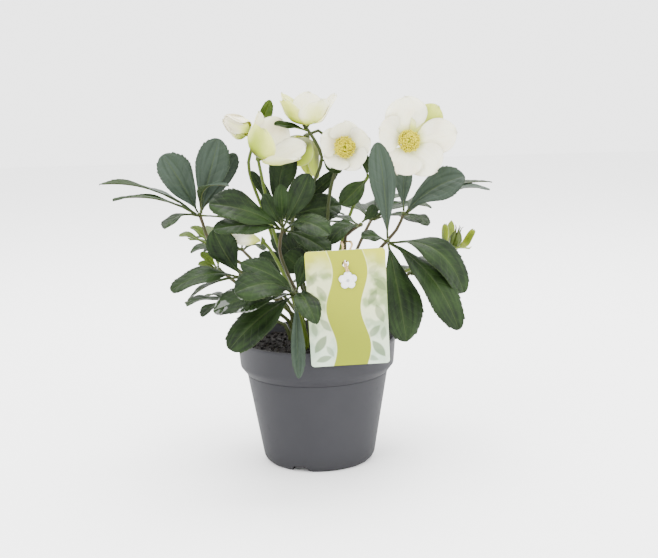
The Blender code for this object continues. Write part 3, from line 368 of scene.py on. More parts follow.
# Colours
BLUSH = (0.70, 0.54, 0.38)
# Grey of the painted shade along petals' edges and tips
RIM_SHADE_GREY = (0.34, 0.34, 0.22)
# Grey of those leaflets' upper faces: partly leaf tone, partly painted sheen
PAINTED_SHEEN_GREY = (0.031, 0.045, 0.034)
DARK_OLIVE = (0.022, 0.028, 0.007)
LEAF_GREENS = ((0.0008, 0.0034, 0.0006), (0.0135, 0.0295, 0.0060), (0.040, 0.058, 0.018),
               (0.024, 0.041, 0.014))
LEAF_LOOKS = {
    "leaf_young": ((0.023, 0.044, 0.004), (0.064, 0.098, 0.010), (0.11, 0.14, 0.03),
                   (0.052, 0.090, 0.014)),
    "bract": ((0.0032, 0.0105, 0.0015), (0.017, 0.034, 0.006), (0.055, 0.075, 0.020),
              (0.040, 0.062, 0.015)),
}
STALK_LOOKS = {
    "petiole": ((0.038, 0.050, 0.012), (0.050, 0.032, 0.015), 0.55),
    "stalk": ((0.050, 0.076, 0.008), (0.046, 0.030, 0.010), 0.3),
}
PETAL_LOOKS = {
    "petal": (((0.80, 0.78, 0.62), (0.55, 0.59, 0.14), (0.25, 0.32, 0.010),
               (0.058, 0.068, 0.001)),),
    "petal_faded": (((0.210, 0.260, 0.016), (0.155, 0.205, 0.008), (0.095, 0.140, 0.004),
                     (0.048, 0.075, 0.001)),),
}
# Grains: dark and light tone, scale a metre, depth in millimetres, roughness, detail
GRAIN_LOOKS = {
    "anther": ((0.40, 0.330, 0.0002), (0.58, 0.52, 0.0004), 1800.0, 0.15, 0.7),
    "filament": ((0.36, 0.34, 0.004), (0.48, 0.46, 0.012), 900.0, 0.05, 0.5),
    "pistil": ((0.34, 0.36, 0.006), (0.46, 0.48, 0.015), 700.0, 0.1, 0.45),
    "peat": ((0.0008, 0.0006, 0.0005), (0.0060, 0.0036, 0.0024), 700.0, 0.8, 0.95, 8.0),
    "twine": ((0.30, 0.19, 0.075), (0.56, 0.42, 0.21), 2200.0, 0.3, 0.9),
    "charm": ((0.66, 0.66, 0.65), (0.74, 0.74, 0.73), 500.0, 0.08, 0.5),
    "button": ((0.30, 0.30, 0.31), (0.40, 0.40, 0.41), 800.0, 0.05, 0.4),
}

# Light: lamps as name, place, size, power and what they aim at
SKY_STRENGTH = 3.4
FLOOR_SIZE = 8.0
LAMPS = (
    ("lamp_key", (-0.9, -1.3, 1.5), 0.9, 26.0, (0, 0, 0.17)),
    ("lamp_fill", (1.4, -1.1, 0.8), 1.4, 24.0, (0, 0, 0.15)),
    ("lamp_top", (0.1, 0.5, 1.7), 1.2, 60.0, (0, 0, 0.15)))


class Form:
    """Collects the vertices, faces and marks of one piece, in millimetres.

    Each vertex carries two marks: place (across, along, vein) and kind (upper, tone, green).
    """

    def __init__(self):
        self.points = []
        self.faces = []
        self.slots = []
        self.place = []
        self.kind = []
        self.count = 0

    def add(self, points, faces, slot, place=None, kind=PLAIN):
        """Add a block of points, with its faces numbered from 0."""
        points = np.asarray(points, float).reshape(-1, 3)
        size = len(points)
        self.faces.extend([[corner + self.count for corner in face] for face in faces])
        self.slots.extend([slot] * len(faces))
        self.points.append(points)
        self.place.append(np.zeros((size, 3)) if place is None else np.reshape(place, (size, 3)))
        self.kind.append(np.broadcast_to(np.asarray(kind, float).reshape(-1, 3), (size, 3)))
        self.count += size

    def finish(self, node, slot, *materials):
        """Make the piece; it rides with the plant and stands for its node."""
        name = node + "_look"
        mesh = bpy.data.meshes.new(name)
        mesh.from_pydata((np.concatenate(self.points) * MM).tolist(), [], self.faces)
        for title, values in (("place", self.place), ("kind", self.kind)):
            layer = mesh.attributes.new(title, "FLOAT_VECTOR", "POINT")
            layer.data.foreach_set("vector", np.concatenate(values).astype(np.float32).ravel())
        for made in materials:
            mesh.materials.append(made)
        mesh.polygons.foreach_set("material_index", self.slots)
        mesh.polygons.foreach_set("use_smooth", [True] * len(mesh.polygons))
        mesh.validate()
        mesh.update()
        piece = bpy.data.objects.new(name, mesh)
        bpy.context.scene.collection.objects.link(piece)
        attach(piece, "root")
        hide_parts(node)
        return piece


def grid_faces(rows, columns, flip=False, closed=False):
    """Quads of a grid of rows by columns points; the rows are rings if it is closed."""
    faces = []
    for row in range(rows - 1):
        for column in range(columns if closed else columns - 1):
            low = row * columns + column
            after = row * columns + (column + 1) % columns
            face = [low, after, after + columns, low + columns]
            faces.append(face[::-1] if flip else face)
    return faces


def tube_faces(rows, sides, flip=False):
    """Faces of a tube of rings, with a cap at each end."""
    last = (rows - 1) * sides
    faces = grid_faces(rows, sides, closed=True)
    faces += [list(range(sides))[::-1], list(range(last, last + sides))]
    return [face[::-1] for face in faces] if flip else faces


def sheet_faces(rows, columns):
    """Faces of a closed sheet: an upper grid, a lower grid after it, and the rim between."""
    size = rows * columns
    faces = grid_faces(rows, columns)
    faces += [[corner + size for corner in face] for face in grid_faces(rows, columns, True)]
    around = list(range(columns)) + [row * columns + columns - 1 for row in range(1, rows)]
    around += [size - 1 - column for column in range(1, columns)]
    around += [row * columns for row in range(rows - 2, 0, -1)]
    for start, end in zip(around, around[1:] + around[:1]):
        faces.append([end, start, start + size, end + size])
    return faces


def add_sheet(form, upper, lower, normal, place, tone, green=0.0, slot=0):
    """Add a closed sheet between two grids of points; normal points out of the upper one."""
    rows, columns = upper.shape[:2]
    middle = columns // 2
    corner = upper[0, middle]
    faces = sheet_faces(rows, columns)
    if np.dot(np.cross(upper[1, middle] - corner, upper[0, middle + 1] - corner), normal) > 0:
        faces = [face[::-1] for face in faces]
    place = np.stack(place, -1).reshape(-1, 3)
    kind = np.tile((0.0, tone, green), (2 * len(place), 1))
    kind[:len(place), 0] = 1.0
    form.add(np.concatenate([upper, lower]), faces, slot, np.concatenate([place, place]), kind)


def tube(form, points, radii, sides, slot, kind=PLAIN):
    """A closed tube along points; its along mark runs from 0 at its foot to 1 at its end."""
    points = [Vector(point) for point in points]
    rings = []
    normal = None
    for index, point in enumerate(points):
        ahead = points[min(index + 1, len(points) - 1)] - points[max(index - 1, 0)]
        ahead.normalize()
        if normal is None:
            normal = ahead.orthogonal().normalized()
        normal = (normal - ahead * normal.dot(ahead)).normalized()
        side = ahead.cross(normal)
        for step in range(sides):
            angle = 2 * math.pi * step / sides
            spot = normal * math.cos(angle) + side * math.sin(angle)
            rings.append(tuple(point + spot * radii[index]))
    along = np.repeat(np.linspace(0, 1, len(points)), sides)
    around = np.tile(np.linspace(-1, 1, sides), len(points))
    form.add(rings, tube_faces(len(points), sides), slot,
             np.stack([around, along, along * 0], -1), kind)


def ball(form, centre, radii, slot, axis=(0, 0, 1), kind=PLAIN, rows=6, sides=8):
    """An ellipsoid; radii are across and along its axis."""
    across, along = radii
    spots = [(0, 0, -along)]
    for row in range(1, rows):
        angle = math.pi * row / rows
        for step in range(sides):
            spin = 2 * math.pi * step / sides
            spots.append((across * math.sin(angle) * math.cos(spin),
                          across * math.sin(angle) * math.sin(spin), -along * math.cos(angle)))
    spots.append((0, 0, along))
    faces = [[corner + 1 for corner in face] for face in grid_faces(rows - 1, sides, closed=True)]
    top = 1 + (rows - 2) * sides
    for step in range(sides):
        after = (step + 1) % sides
        faces.append([0, 1 + after, 1 + step])
        faces.append([top + step, top + after, len(spots) - 1])
    turn = Vector((0, 0, 1)).rotation_difference(Vector(axis))
    points = [tuple(Vector(centre) + turn @ Vector(spot)) for spot in spots]
    form.add(points, faces, slot, None, kind)


def smooth_path(points, spacing):
    """Points along a Catmull-Rom curve through the given points."""
    ends = [2 * points[0] - points[1]] + points + [2 * points[-1] - points[-2]]
    path = [points[0]]
    for index in range(1, len(ends) - 2):
        before, start, end, after = ends[index - 1:index + 3]
        steps = max(1, round((end - start).length / spacing))
        for step in range(1, steps + 1):
            t = step / steps
            path.append(0.5 * (2 * start + (end - before) * t
                               + (2 * before - 5 * start + 4 * end - after) * t ** 2
                               + (3 * start - before - 3 * end + after) * t ** 3))
    return path


def stem_points(stem):
    """The whole route of a stem that stands in the soil, straight where it leaves it."""
    x, y = stem[0]
    foot = Vector((x, y, SOIL_TOP_Z - FOOT_DEPTH + HOLE_GAP))
    collar = Vector((x, y, SOIL_TOP_Z + STRAIGHT_ABOVE_SOIL))
    return [foot] + smooth_path([collar] + [Vector(point) for point in stem[1:]], STEM_SPACING)


def stem_tube(form, route, dice, slot, kind=PLAIN, radius=STALK_RADIUS, taper=0.8, sides=12):
    """A stem's tube: thicker at its foot, a little uneven."""
    last = len(route) - 1
    radii = [radius * (1 + (taper - 1) * index / last) * (1 + 0.05 * dice.uniform(-1, 1))
             + 0.35 * max(0.0, 1 - index / 4) for index in range(last + 1)]
    tube(form, route, radii, sides, slot, kind)


def blade_rows(teeth, dice):
    """The rows of a leaflet: even near its foot, and four to a tooth from there to the tip."""
    rows = [(s, 0.0) for s in np.linspace(0.0, TEETH_FROM, 9)[:-1]]
    gap = (1.0 - TEETH_FROM) / teeth
    for tooth in range(teeth):
        start = TEETH_FROM + gap * tooth
        grown = min(1.0, 0.3 + tooth / 4) * (0.35 if tooth == teeth - 1 else dice.uniform(0.25, 1.1))
        rows += [(start + gap * part, rise * grown) for part, rise in zip(TOOTH_ROWS, TOOTH_SHAPE)]
    rows.append((1.0, 0.0))
    return np.array(rows)


def blade_half(s, width):
    """Half the width of a leaflet at s, from its narrow foot to its blunt tip."""
    wave = np.clip(np.sin(np.pi * s ** (math.log(0.5) / math.log(WIDEST_AT))), 0, 1)
    shape = wave ** np.where(s < WIDEST_AT, FOOT_POWER, TIP_POWER)
    least = BLADE_BASE_WIDTH * np.clip(1 - 1.2 * (s - 0.5), 0.25, 1)
    return np.maximum(least, width * shape) / 2


def leaflet(form, root, tip, width, face, arch, fold, dice, tone, slot=0, start=ROOT_START):
    """One toothed leaflet: its blade with veins, wavy edges and a rib along its lower face."""
    root, tip, face = Vector(root), Vector(tip), Vector(face)
    along = (tip - root).normalized()
    root = root + along * start
    run = tip - root
    length = run.length
    up = (face - along * face.dot(along)).normalized()
    side = along.cross(up)
    run, up, side, root = (np.array(vector) for vector in (run, up, side, root))

    rows = blade_rows(TEETH if width > SMALL_LEAFLET else SMALL_TEETH, dice)
    s, tooth = rows[:, 0], rows[:, 1]
    u = np.array([-value for value in BLADE_COLUMNS[:0:-1]] + list(BLADE_COLUMNS))
    s_grid, u_grid = np.meshgrid(s, u, indexing="ij")
    reach = np.abs(u_grid)
    half = blade_half(s, width)[:, None] * (1 + dice.uniform(-0.07, 0.07) * np.sign(u_grid))
    depth = 0.024 * width + 0.12
    edge = np.clip((reach - 0.75) / 0.25, 0, 1)
    bite = tooth[:, None] * depth * edge * np.clip(half / (0.2 * width), 0, 1)
    across = u_grid * half / math.sqrt(1 + fold * fold)
    across = across + np.sign(u_grid) * (bite - 0.3 * depth * edge)

    phase_left, phase_right = dice.uniform(0, 6.28), dice.uniform(0, 6.28)
    phase = np.where(u_grid < 0, phase_left, phase_right)
    waves = dice.uniform(1.4, 2.2)
    vein = (s_grid * length - 0.9 * np.abs(across)) / VEIN_SPACING
    vein = vein + np.where(u_grid < 0, 0.5, 0.0)
    height = fold * (np.sqrt(across ** 2 + 0.6) - 0.77)
    height += dice.uniform(-0.3, 0.3) * across * s_grid
    height += 0.055 * width * u_grid ** 2 * np.sin(2 * np.pi * waves * s_grid + phase)
    height -= 0.03 * width * reach ** 4
    bulge = 4 * reach * (1 - reach) * np.clip(half / (0.3 * width), 0, 1)
    height -= 0.20 * bulge * np.cos(2 * np.pi * vein)
    height -= 0.30 * np.exp(-(across / 0.8) ** 2)
    bow = dice.uniform(-0.025, 0.025) * length * 4 * s_grid * (1 - s_grid)

    slope = run + up * (4 * arch * length * (1 - 2 * s))[:, None]
    normal = np.cross(side, slope)
    normal /= np.linalg.norm(normal, axis=1)[:, None]
    normal *= np.sign(normal @ up)[:, None]
    crown = 4 * arch * length * s_grid * (1 - s_grid)
    middle = root + s_grid[..., None] * run + crown[..., None] * up
    middle = middle + (across + bow)[..., None] * side + height[..., None] * normal[:, None, :]
    middle = middle + (0.8 * bite)[..., None] * run / length
    thick = (BLADE_THICKNESS / 2 * (1 - 0.5 * reach ** 3))[..., None] * normal[:, None, :]
    lower = middle - thick
    add_sheet(form, middle + thick, lower, normal[0], (u_grid, s_grid, vein), tone, slot=slot)
    rib = lower[::3, len(u) // 2] - 0.1 * normal[::3]
    radii = np.interp(s[::3], (0, 0.15, 0.9, 1.0), (0.95, 0.75, 0.25, 0.12))
    tube(form, rib[:-1], radii[:-1], 6, 1, (0.0, 0.0, 0.0))


def build_leaf(name, looks):
    """A leaf: its stem from the soil, its hub and its leaflets."""
    stem, blades = LEAVES[name]
    dice = random.Random(f"{SEED} {name}")
    form = Form()
    stem_tube(form, stem_points(stem), dice, 1, PLAIN, PETIOLE_RADIUS, 0.85, 10)
    ball(form, stem[-1], (HUB_RADIUS, HUB_RADIUS), 1)
    for index, blade in enumerate(blades):
        # A tone of 1 gives the leaflet the painted sheen grey in its material
        tone = 1.0 if index in SHEEN_LEAFLETS.get(name, ()) else dice.uniform(0.0, 0.5)
        leaflet(form, stem[-1], *blade, dice, tone, 2 if index in WET.get(name, ()) else 0)
    young = name in YOUNG_LEAVES
    wet = (looks["leaf_wet"],) if name in WET else ()
    form.finish(name, "young_leaf" if young else "leaf",
                looks["leaf_young" if young else "leaf"], looks["petiole"], *wet)


def bloom_frame(base, axis):
    """The matrix of a flower: its Z axis is the way it opens, its Y axis as far up as can be."""
    forward = Vector(axis).normalized()
    up = Vector((0, 0, 1)) if abs(forward.z) < 0.9 else Vector((0, 1, 0))
    side = up.cross(forward).normalized()
    upright = forward.cross(side)
    turn = Matrix((side, upright, forward)).transposed().to_4x4()
    return Matrix.Translation(Vector(base)) @ turn


def moved(points, matrix):
    """An array of points moved by a matrix."""
    turn = np.array(matrix.to_3x3())
    return np.asarray(points) @ turn.T + np.array(matrix.translation)


def petal_half(s, width):
    """Half the width of a petal at s."""
    wave = np.clip(np.sin(np.pi * s ** (math.log(0.5) / math.log(PETAL_WIDEST_AT))), 0, 1)
    return np.maximum(PETAL_ROOT_WIDTH * (1 - s), width * wave ** 0.5 * np.clip(s * 3, 0, 1) ** 0.3) / 2


def petal(form, matrix, shape, green, dice, soon=OPEN_BEND):
    """One petal, thin and a little wavy, hollow towards the flower's middle."""
    turn, length, width, tip_angle = shape
    turn = math.radians(turn)
    out = np.array((math.cos(turn), math.sin(turn), 0.0))
    side = np.array((-math.sin(turn), math.cos(turn), 0.0))
    axis = np.array((0.0, 0.0, 1.0))
    steps = (np.arange(PETAL_STEPS) + 0.5) / PETAL_STEPS
    blend = np.minimum(1.0, steps * soon)
    blend = blend * blend * (3 - 2 * blend)
    angle = np.radians(PETAL_ROOT_ANGLE + (tip_angle - PETAL_ROOT_ANGLE) * blend)
    arc = np.stack([np.sin(angle), np.cos(angle)], -1) * length / PETAL_STEPS
    arc = np.concatenate([[(0.0, 0.0)], np.cumsum(arc, axis=0)])
    knots = np.linspace(0, 1, PETAL_STEPS + 1)

    s = 1 - (1 - np.linspace(0, 1, PETAL_ROWS)) ** 1.25
    u = np.sin(np.linspace(-1, 1, PETAL_COLUMNS) * math.pi / 2)
    s_grid, u_grid = np.meshgrid(s, u, indexing="ij")
    radius = PETAL_ROOT_RADIUS + np.interp(s, knots, arc[:, 0])
    rise = np.interp(s, knots, arc[:, 1])
    lean = np.interp(s, knots, np.concatenate([angle[:1], angle]))
    half = petal_half(s, width)[:, None]
    upright = (0.3 + 0.7 * np.clip(np.cos(lean), 0, 1))[:, None]
    hollow = (half * u_grid) ** 2 * upright / (2 * np.maximum(radius, PETAL_HOLLOW_RADIUS))[:, None]
    phase = dice.uniform(0, 6.28)
    ripple = 0.022 * width * u_grid ** 2 * np.sin(2 * np.pi * 1.6 * s_grid + phase + 2 * u_grid)
    ripple += 0.012 * width * s_grid ** 2 * np.sin(9 * u_grid + phase)
    trough = -0.25 * np.exp(-(u_grid / 0.10) ** 2) * s_grid
    bend = hollow + u_grid * np.minimum(1.0, 4 * s)[:, None] + ripple + trough
    notch = 0.02 * length * s_grid ** 6 * np.cos(5 * u_grid + phase * 0.3)
    inward = -np.cos(lean)[:, None] * out + np.sin(lean)[:, None] * axis
    forward = np.sin(lean)[:, None] * out + np.cos(lean)[:, None] * axis
    middle = (radius[:, None] * out + (DISC_HEIGHT / 2 + rise)[:, None] * axis)[:, None, :]
    middle = middle + (half * u_grid)[..., None] * side + bend[..., None] * inward[:, None, :]
    middle = middle + notch[..., None] * forward[:, None, :]
    thick = PETAL_THICKNESS / 2 * (1 - 0.6 * np.abs(u_grid) ** 3) * (1.6 - s_grid)
    thick = thick[..., None] * inward[:, None, :]
    add_sheet(form, moved(middle + thick, matrix), moved(middle - thick, matrix),
              np.array(matrix.to_3x3()) @ inward[0], (u_grid, s_grid, u_grid * half),
              dice.uniform(0, 1), green)


def cup(form, matrix, heights, radii, slot, kind):
    """A round body along a flower's axis."""
    tube(form, [matrix @ Vector((0, 0, height)) for height in heights], radii, 14, slot, kind)


def spoke(form, matrix, angle, places, radii, sides, slot, kind=PLAIN):
    """A tube through places (out from a flower's axis, up along it), turned about the axis."""
    turn = Matrix.Rotation(angle, 4, "Z")
    route = [matrix @ (turn @ Vector((out, 0, up))) for out, up in places]
    tube(form, route, radii, sides, slot, kind)
    return route


def build_stamens(name, spec, matrix, looks):
    """The ring of nectaries, the stamens with their anthers, and the pistil's slim carpels."""
    dice = random.Random(f"{SEED} {name} stamens")
    form = Form()
    level = DISC_HEIGHT
    forward = matrix.to_3x3() @ Vector((0, 0, 1))
    ball(form, matrix @ Vector((0, 0, level + 0.3)), (3.9, 1.2), 0, forward)
    for index in range(NECTARIES):
        spoke(form, matrix, math.radians(360 / NECTARIES * index),
              ((3.4, level), (4.6, level + 1.2), (5.4, level + 2.7)), (0.4, 0.65, 0.85), 6, 2)
    count, spread = spec["stamens"]
    for index in range(count):
        share = (index + 0.5) / count
        foot = 1.2 + 2.5 * math.sqrt(share)
        splay = math.radians(4 + 1.75 * spread * share + dice.uniform(-6, 6))
        length = dice.uniform(7.2, 9.2) * (1.1 - 0.25 * share)
        places = []
        for part in (0.0, 0.25, 0.5, 0.75, 1.0):
            bend = splay * (1.25 - 0.55 * part)
            places.append((foot + math.sin(bend) * length * part,
                           level + math.cos(bend) * length * part))
        route = spoke(form, matrix, index * GOLDEN_TURN, places, FILAMENT_RADII, 5, 1)
        heading = (route[-1] - route[-2]).normalized()
        heading += Vector([dice.uniform(-0.5, 0.5) for _ in range(3)])
        ball(form, route[-1], (0.8, dice.uniform(1.0, 1.4)), 0, heading,
             (1.0, dice.uniform(0, 1), 0.0), 5, 6)
    ball(form, matrix @ Vector((0, 0, level + 5.0)), (1.3, 2.6), 2, forward)
    for index in range(CARPELS):
        spoke(form, matrix, math.radians(360 / CARPELS * index + 12),
              ((0.9, level), (1.5, level + 2.6), (1.15, level + 5.2), (0.9, level + 8.0),
               (1.7, level + 9.6)), (0.75, 0.95, 0.55, 0.28, 0.22), 7, 2)
    form.finish(name + "_stamens", "stamen", looks["anther"], looks["filament"], looks["pistil"])


def build_bloom(name, spec, looks):
    """A flower: stalk with receptacle and bracts, the petals, and the stamens."""
    dice = random.Random(f"{SEED} {name}")
    base = Vector(spec["stem"][-1])
    matrix = bloom_frame(base, spec["axis"])
    forward = matrix.to_3x3() @ Vector((0, 0, 1))
    stem = Form()
    kind = (1.0, 1.0 if name in DARK_STALKS else 0.0, 1.0)
    route = stem_points(spec["stem"][:-1] + [tuple(base - forward * 2.0)])
    stem_tube(stem, route + [base - forward * 0.4], dice, 1, kind)
    cup(stem, matrix, (-3.4, -2.2, -1.0, 0.0, 0.3), (1.5, 2.0, 2.9, RECEPTACLE_RADIUS, 2.4), 1, kind)
    for bract in spec.get("bracts", ()):
        leaflet(stem, *bract, BRACT_FOLD, dice, 0.2, start=0.0)
    stem.finish(name + "_stalk", "stalk",
                looks["leaf_young" if name in PALE_BRACTS else "bract"], looks["stalk"])

    white = Form()
    ball(white, matrix @ Vector((0, 0, DISC_HEIGHT / 2)), (3.6, 0.8), 0, forward, (0.0, 0.5, 1.0))
    for shape, green in zip(spec["petals"], spec["green"]):
        petal(white, matrix, shape, green, dice, spec.get("bend", OPEN_BEND))
    white.finish(name + "_petals", "petal", looks["petal"])
    build_stamens(name, spec, matrix, looks)


def build_bud(looks):
    """The unopened bud: petals wrapped over each other, on its own stalk."""
    dice = random.Random(f"{SEED} bud")
    base = Vector(BUD_STEM[-1])
    matrix = bloom_frame(base, BUD_AXIS)
    forward = matrix.to_3x3() @ Vector((0, 0, 1))
    stem = Form()
    stem_tube(stem, stem_points(BUD_STEM[:-1] + [tuple(base - forward * 1.5)]), dice, 0, GREEN)
    cup(stem, matrix, (-3.6, -2.4, -1.2, -0.4), (1.4, 2.0, 3.1, 3.7), 0, GREEN)
    stem.finish("bud_stalk", "stalk", looks["stalk"])

    points, place = [], []
    for row in range(BUD_ROWS + 1):
        s = row / BUD_ROWS
        for step in range(BUD_SIDES):
            part = (step / BUD_SIDES * 5 + 0.9 * s) % 1.0
            lap = 0.10 * (part if part < 0.93 else (1 - part) / 0.07 * 0.93)
            radius = BUD_RADIUS * math.sin(math.pi * min(1, 0.02 + 0.97 * s) ** 1.12) ** 0.72
            radius *= 0.93 + lap
            spin = 2 * math.pi * step / BUD_SIDES
            points.append((radius * math.cos(spin), radius * math.sin(spin), 0.1 + BUD_LENGTH * s))
            place.append(((part - 0.5) * 2, s, (part - 0.5) * 9))
    bud = Form()
    bud.add(moved(points, matrix), tube_faces(BUD_ROWS + 1, BUD_SIDES), 0, place, (0.0, 0.5, 0.1))
    bud.finish("bud_petals", "petal", looks["petal"])


def build_seed_head(looks):
    """The faded flower on the right: swollen green pods with thin beaks in narrow petals."""
    dice = random.Random(f"{SEED} head")
    matrix = bloom_frame(HEAD_STEM[-1], HEAD_AXIS)
    form = Form()
    stem_tube(form, stem_points(HEAD_STEM), dice, 1, GREEN)
    cup(form, matrix, (-1.5, 0, 2.0, 4.0, 5.2), (1.5, 2.2, 3.8, 4.4, 3.2), 1, GREEN)
    for index in range(PODS):
        spoke(form, matrix, math.radians(360 / PODS * index),
              ((1.4, 3.0), (2.9, 6.5), (3.3, 10.0), (2.6, 13.5), (2.0, 16.0), (2.4, 19.0),
               (3.6, 21.0)), (1.0, 2.0, 2.2, 1.5, 0.6, 0.35, 0.25), 9, 1, (1.0, 0.5, 0.6))
    for shape in HEAD_PETALS:
        petal(form, matrix @ Matrix.Translation((0, 0, 2.5)), shape, 1.0, dice)
    form.finish("seed_head", "young_leaf", looks["petal_faded"], looks["stalk"])


def turned(profile, sides):
    """Points of a profile of radius and height turned about Z."""
    points = []
    for radius, height in profile:
        for step in range(sides):
            angle = 2 * math.pi * step / sides
            points.append((radius * math.cos(angle), radius * math.sin(angle), height))
    return np.array(points)


def cutter(shape, place):
    """A hidden object of a shape moved to its place, which cuts another and then goes."""
    mesh = bpy.data.meshes.new("cutter")
    shape.to_mesh(mesh)
    shape.free()
    mesh.transform(place)
    tool = bpy.data.objects.new("cutter", mesh)
    bpy.context.scene.collection.objects.link(tool)
    return tool


def build_pot(looks):
    """The pot: a fine turned shell with its bead, collar, groove, notches and drain holes."""
    form = Form()
    form.add(turned(POT_PROFILE, POT_SIDES), tube_faces(len(POT_PROFILE), POT_SIDES, True), 0)
    pot = form.finish("pot", "pot", looks["pot"])
    tools = []
    for angle in NOTCH_ANGLES:
        turn = Matrix.Rotation(math.radians(angle), 4, "Z")
        shape = bmesh.new()
        bmesh.ops.create_cube(shape, size=1.0)
        for vertex in shape.verts:
            above = vertex.co.z > 0
            vertex.co.x = (FOOT_RADIUS + vertex.co.x * 18.0) * MM
            vertex.co.y *= NOTCH_WIDTH * (0.72 if above else 1.0) * MM
            vertex.co.z = (NOTCH_HEIGHT if above else -1.0) * MM
        tools.append(cutter(shape, turn))
        shape = bmesh.new()
        bmesh.ops.create_cone(shape, cap_ends=True, segments=32, radius1=DRAIN_RADIUS * MM,
                              radius2=DRAIN_RADIUS * MM, depth=6 * MM)
        shift = Matrix.Translation((DRAIN_CIRCLE * MM, 0, POT_FLOOR_Z * MM))
        tools.append(cutter(shape, turn @ shift))
    for tool in tools:
        cut = pot.modifiers.new("cut", "BOOLEAN")
        cut.operation = "DIFFERENCE"
        cut.object = tool
    bpy.context.view_layer.update()
    graph = bpy.context.evaluated_depsgraph_get()
    mesh = bpy.data.meshes.new_from_object(pot.evaluated_get(graph))
    pot.modifiers.clear()
    pot.data = mesh
    for tool in tools:
        bpy.data.objects.remove(tool, do_unlink=True)
    mesh.shade_smooth()
    mesh.set_sharp_from_angle(angle=math.radians(35))


def soil_height(x, y, reach):
    """How far the soil's surface stands above or below its level; reach is 1 at the pot."""
    rough = 0.9 * math.sin(x * 0.31 + 1.0) * math.cos(y * 0.27)
    rough += 0.7 * math.sin(x * 0.83 + y * 0.41) + 0.5 * math.cos(x * 0.57 - y * 1.13 + 2)
    return rough * 0.8 - 2.2 * reach ** 4


def build_soil(looks):
    """The soil: a lumpy surface with crumbs of peat on it, a few of them larger."""
    dice = random.Random(SEED)
    inside = POT_FLOOR_Z + POT_FLOOR_THICKNESS + SOIL_GAP
    profile = [(SOIL_RADIUS * (row + 0.5) / SOIL_RINGS, SOIL_TOP_Z) for row in range(SOIL_RINGS)]
    profile += [(SOIL_RADIUS, SOIL_TOP_Z - 2.6), (COLLAR_RADIUS - POT_WALL - 0.6, COLLAR_Z + 1.2),
                (BODY_TOP_RADIUS - POT_WALL - 0.8, BODY_TOP_Z + 0.4),
                (BODY_LOW_RADIUS - POT_WALL - 0.8, 12.0), (FOOT_RADIUS - 3.0, inside),
                (0.5, inside)]
    points = turned(profile, SOIL_SIDES)
    for index in range(SOIL_RINGS * SOIL_SIDES):
        x, y, z = points[index]
        reach = math.hypot(x, y) / SOIL_RADIUS
        points[index, 2] = z + soil_height(x, y, reach) + dice.uniform(-0.35, 0.35)
    form = Form()
    form.add(points, tube_faces(len(profile), SOIL_SIDES, True), 0)
    for _ in range(CRUMBS):
        spin = dice.uniform(0, 2 * math.pi)
        reach = (SOIL_RADIUS - 2.0) * math.sqrt(dice.uniform(0, 1))
        x, y = reach * math.cos(spin), reach * math.sin(spin)
        size = dice.uniform(0.5, 1.9) * (1.5 if dice.random() < 0.08 else 1.0)
        z = SOIL_TOP_Z + soil_height(x, y, reach / SOIL_RADIUS) + 0.25 * size
        axis = [dice.uniform(-1, 1) for _ in range(3)]
        ball(form, (x, y, z), (size * dice.uniform(0.6, 1.0), size * dice.uniform(0.6, 1.5)), 0,
             axis, (1.0, dice.uniform(0, 1), 0.0), 4, 5)
    form.finish("soil", "soil", looks["peat"])


def card_frame():
    """The card's matrix: its foot at the pot's collar, leaning out and a little turned."""
    turn = Matrix.Rotation(math.radians(CARD_LEAN), 4, "X")
    roll = Matrix.Rotation(math.radians(-CARD_ROLL), 4, "Y")
    return Matrix.Translation(Vector(CARD_FOOT)) @ turn @ roll


def card_point(x, out, z):
    """A point from the card's place: across, out of its face, and up."""
    return card_frame() @ Vector((x, -out, z))


def build_twine(looks):
    """The twine: two strands twisted round each other, with the knot in front."""
    loop = [card_point(-0.9, 0.2, CARD_HOLE_UP), card_point(-0.9, -2.0, CARD_HOLE_UP + 0.4),
            card_point(-1.6, -3.2, CARD_HOLE_UP + 5)]
    loop += [Vector(point) for point in TWINE_ROUND_STEM]
    loop += [card_point(1.8, -3.3, CARD_HOLE_UP + 5), card_point(1.0, -2.0, CARD_HOLE_UP + 0.4)]
    knot = [card_point(0.2, 0.0, CARD_HOLE_UP), card_point(0.6, 2.4, CARD_HOLE_UP - 2.6),
            card_point(1.4, 3.2, CARD_HOLE_UP - 4.9)]
    form = Form()
    for route, radius in ((smooth_path(loop, 1.0), TWINE_RADIUS * 1.15),
                          (smooth_path(knot, 0.6), TWINE_RADIUS * 1.9)):
        for strand in range(2):
            points = []
            for index, point in enumerate(route):
                ahead = route[min(index + 1, len(route) - 1)] - route[max(index - 1, 0)]
                normal = ahead.normalized().cross(Vector((0.3, 0.4, 0.86))).normalized()
                across = ahead.normalized().cross(normal)
                spin = index * TWIST_STEP + math.pi * strand
                points.append(point + (normal * math.cos(spin) + across * math.sin(spin))
                              * radius * 0.48)
            tube(form, points, [radius * 0.55] * len(points), 7, 0)
    form.finish("tag_twine", "twine", looks["twine"])


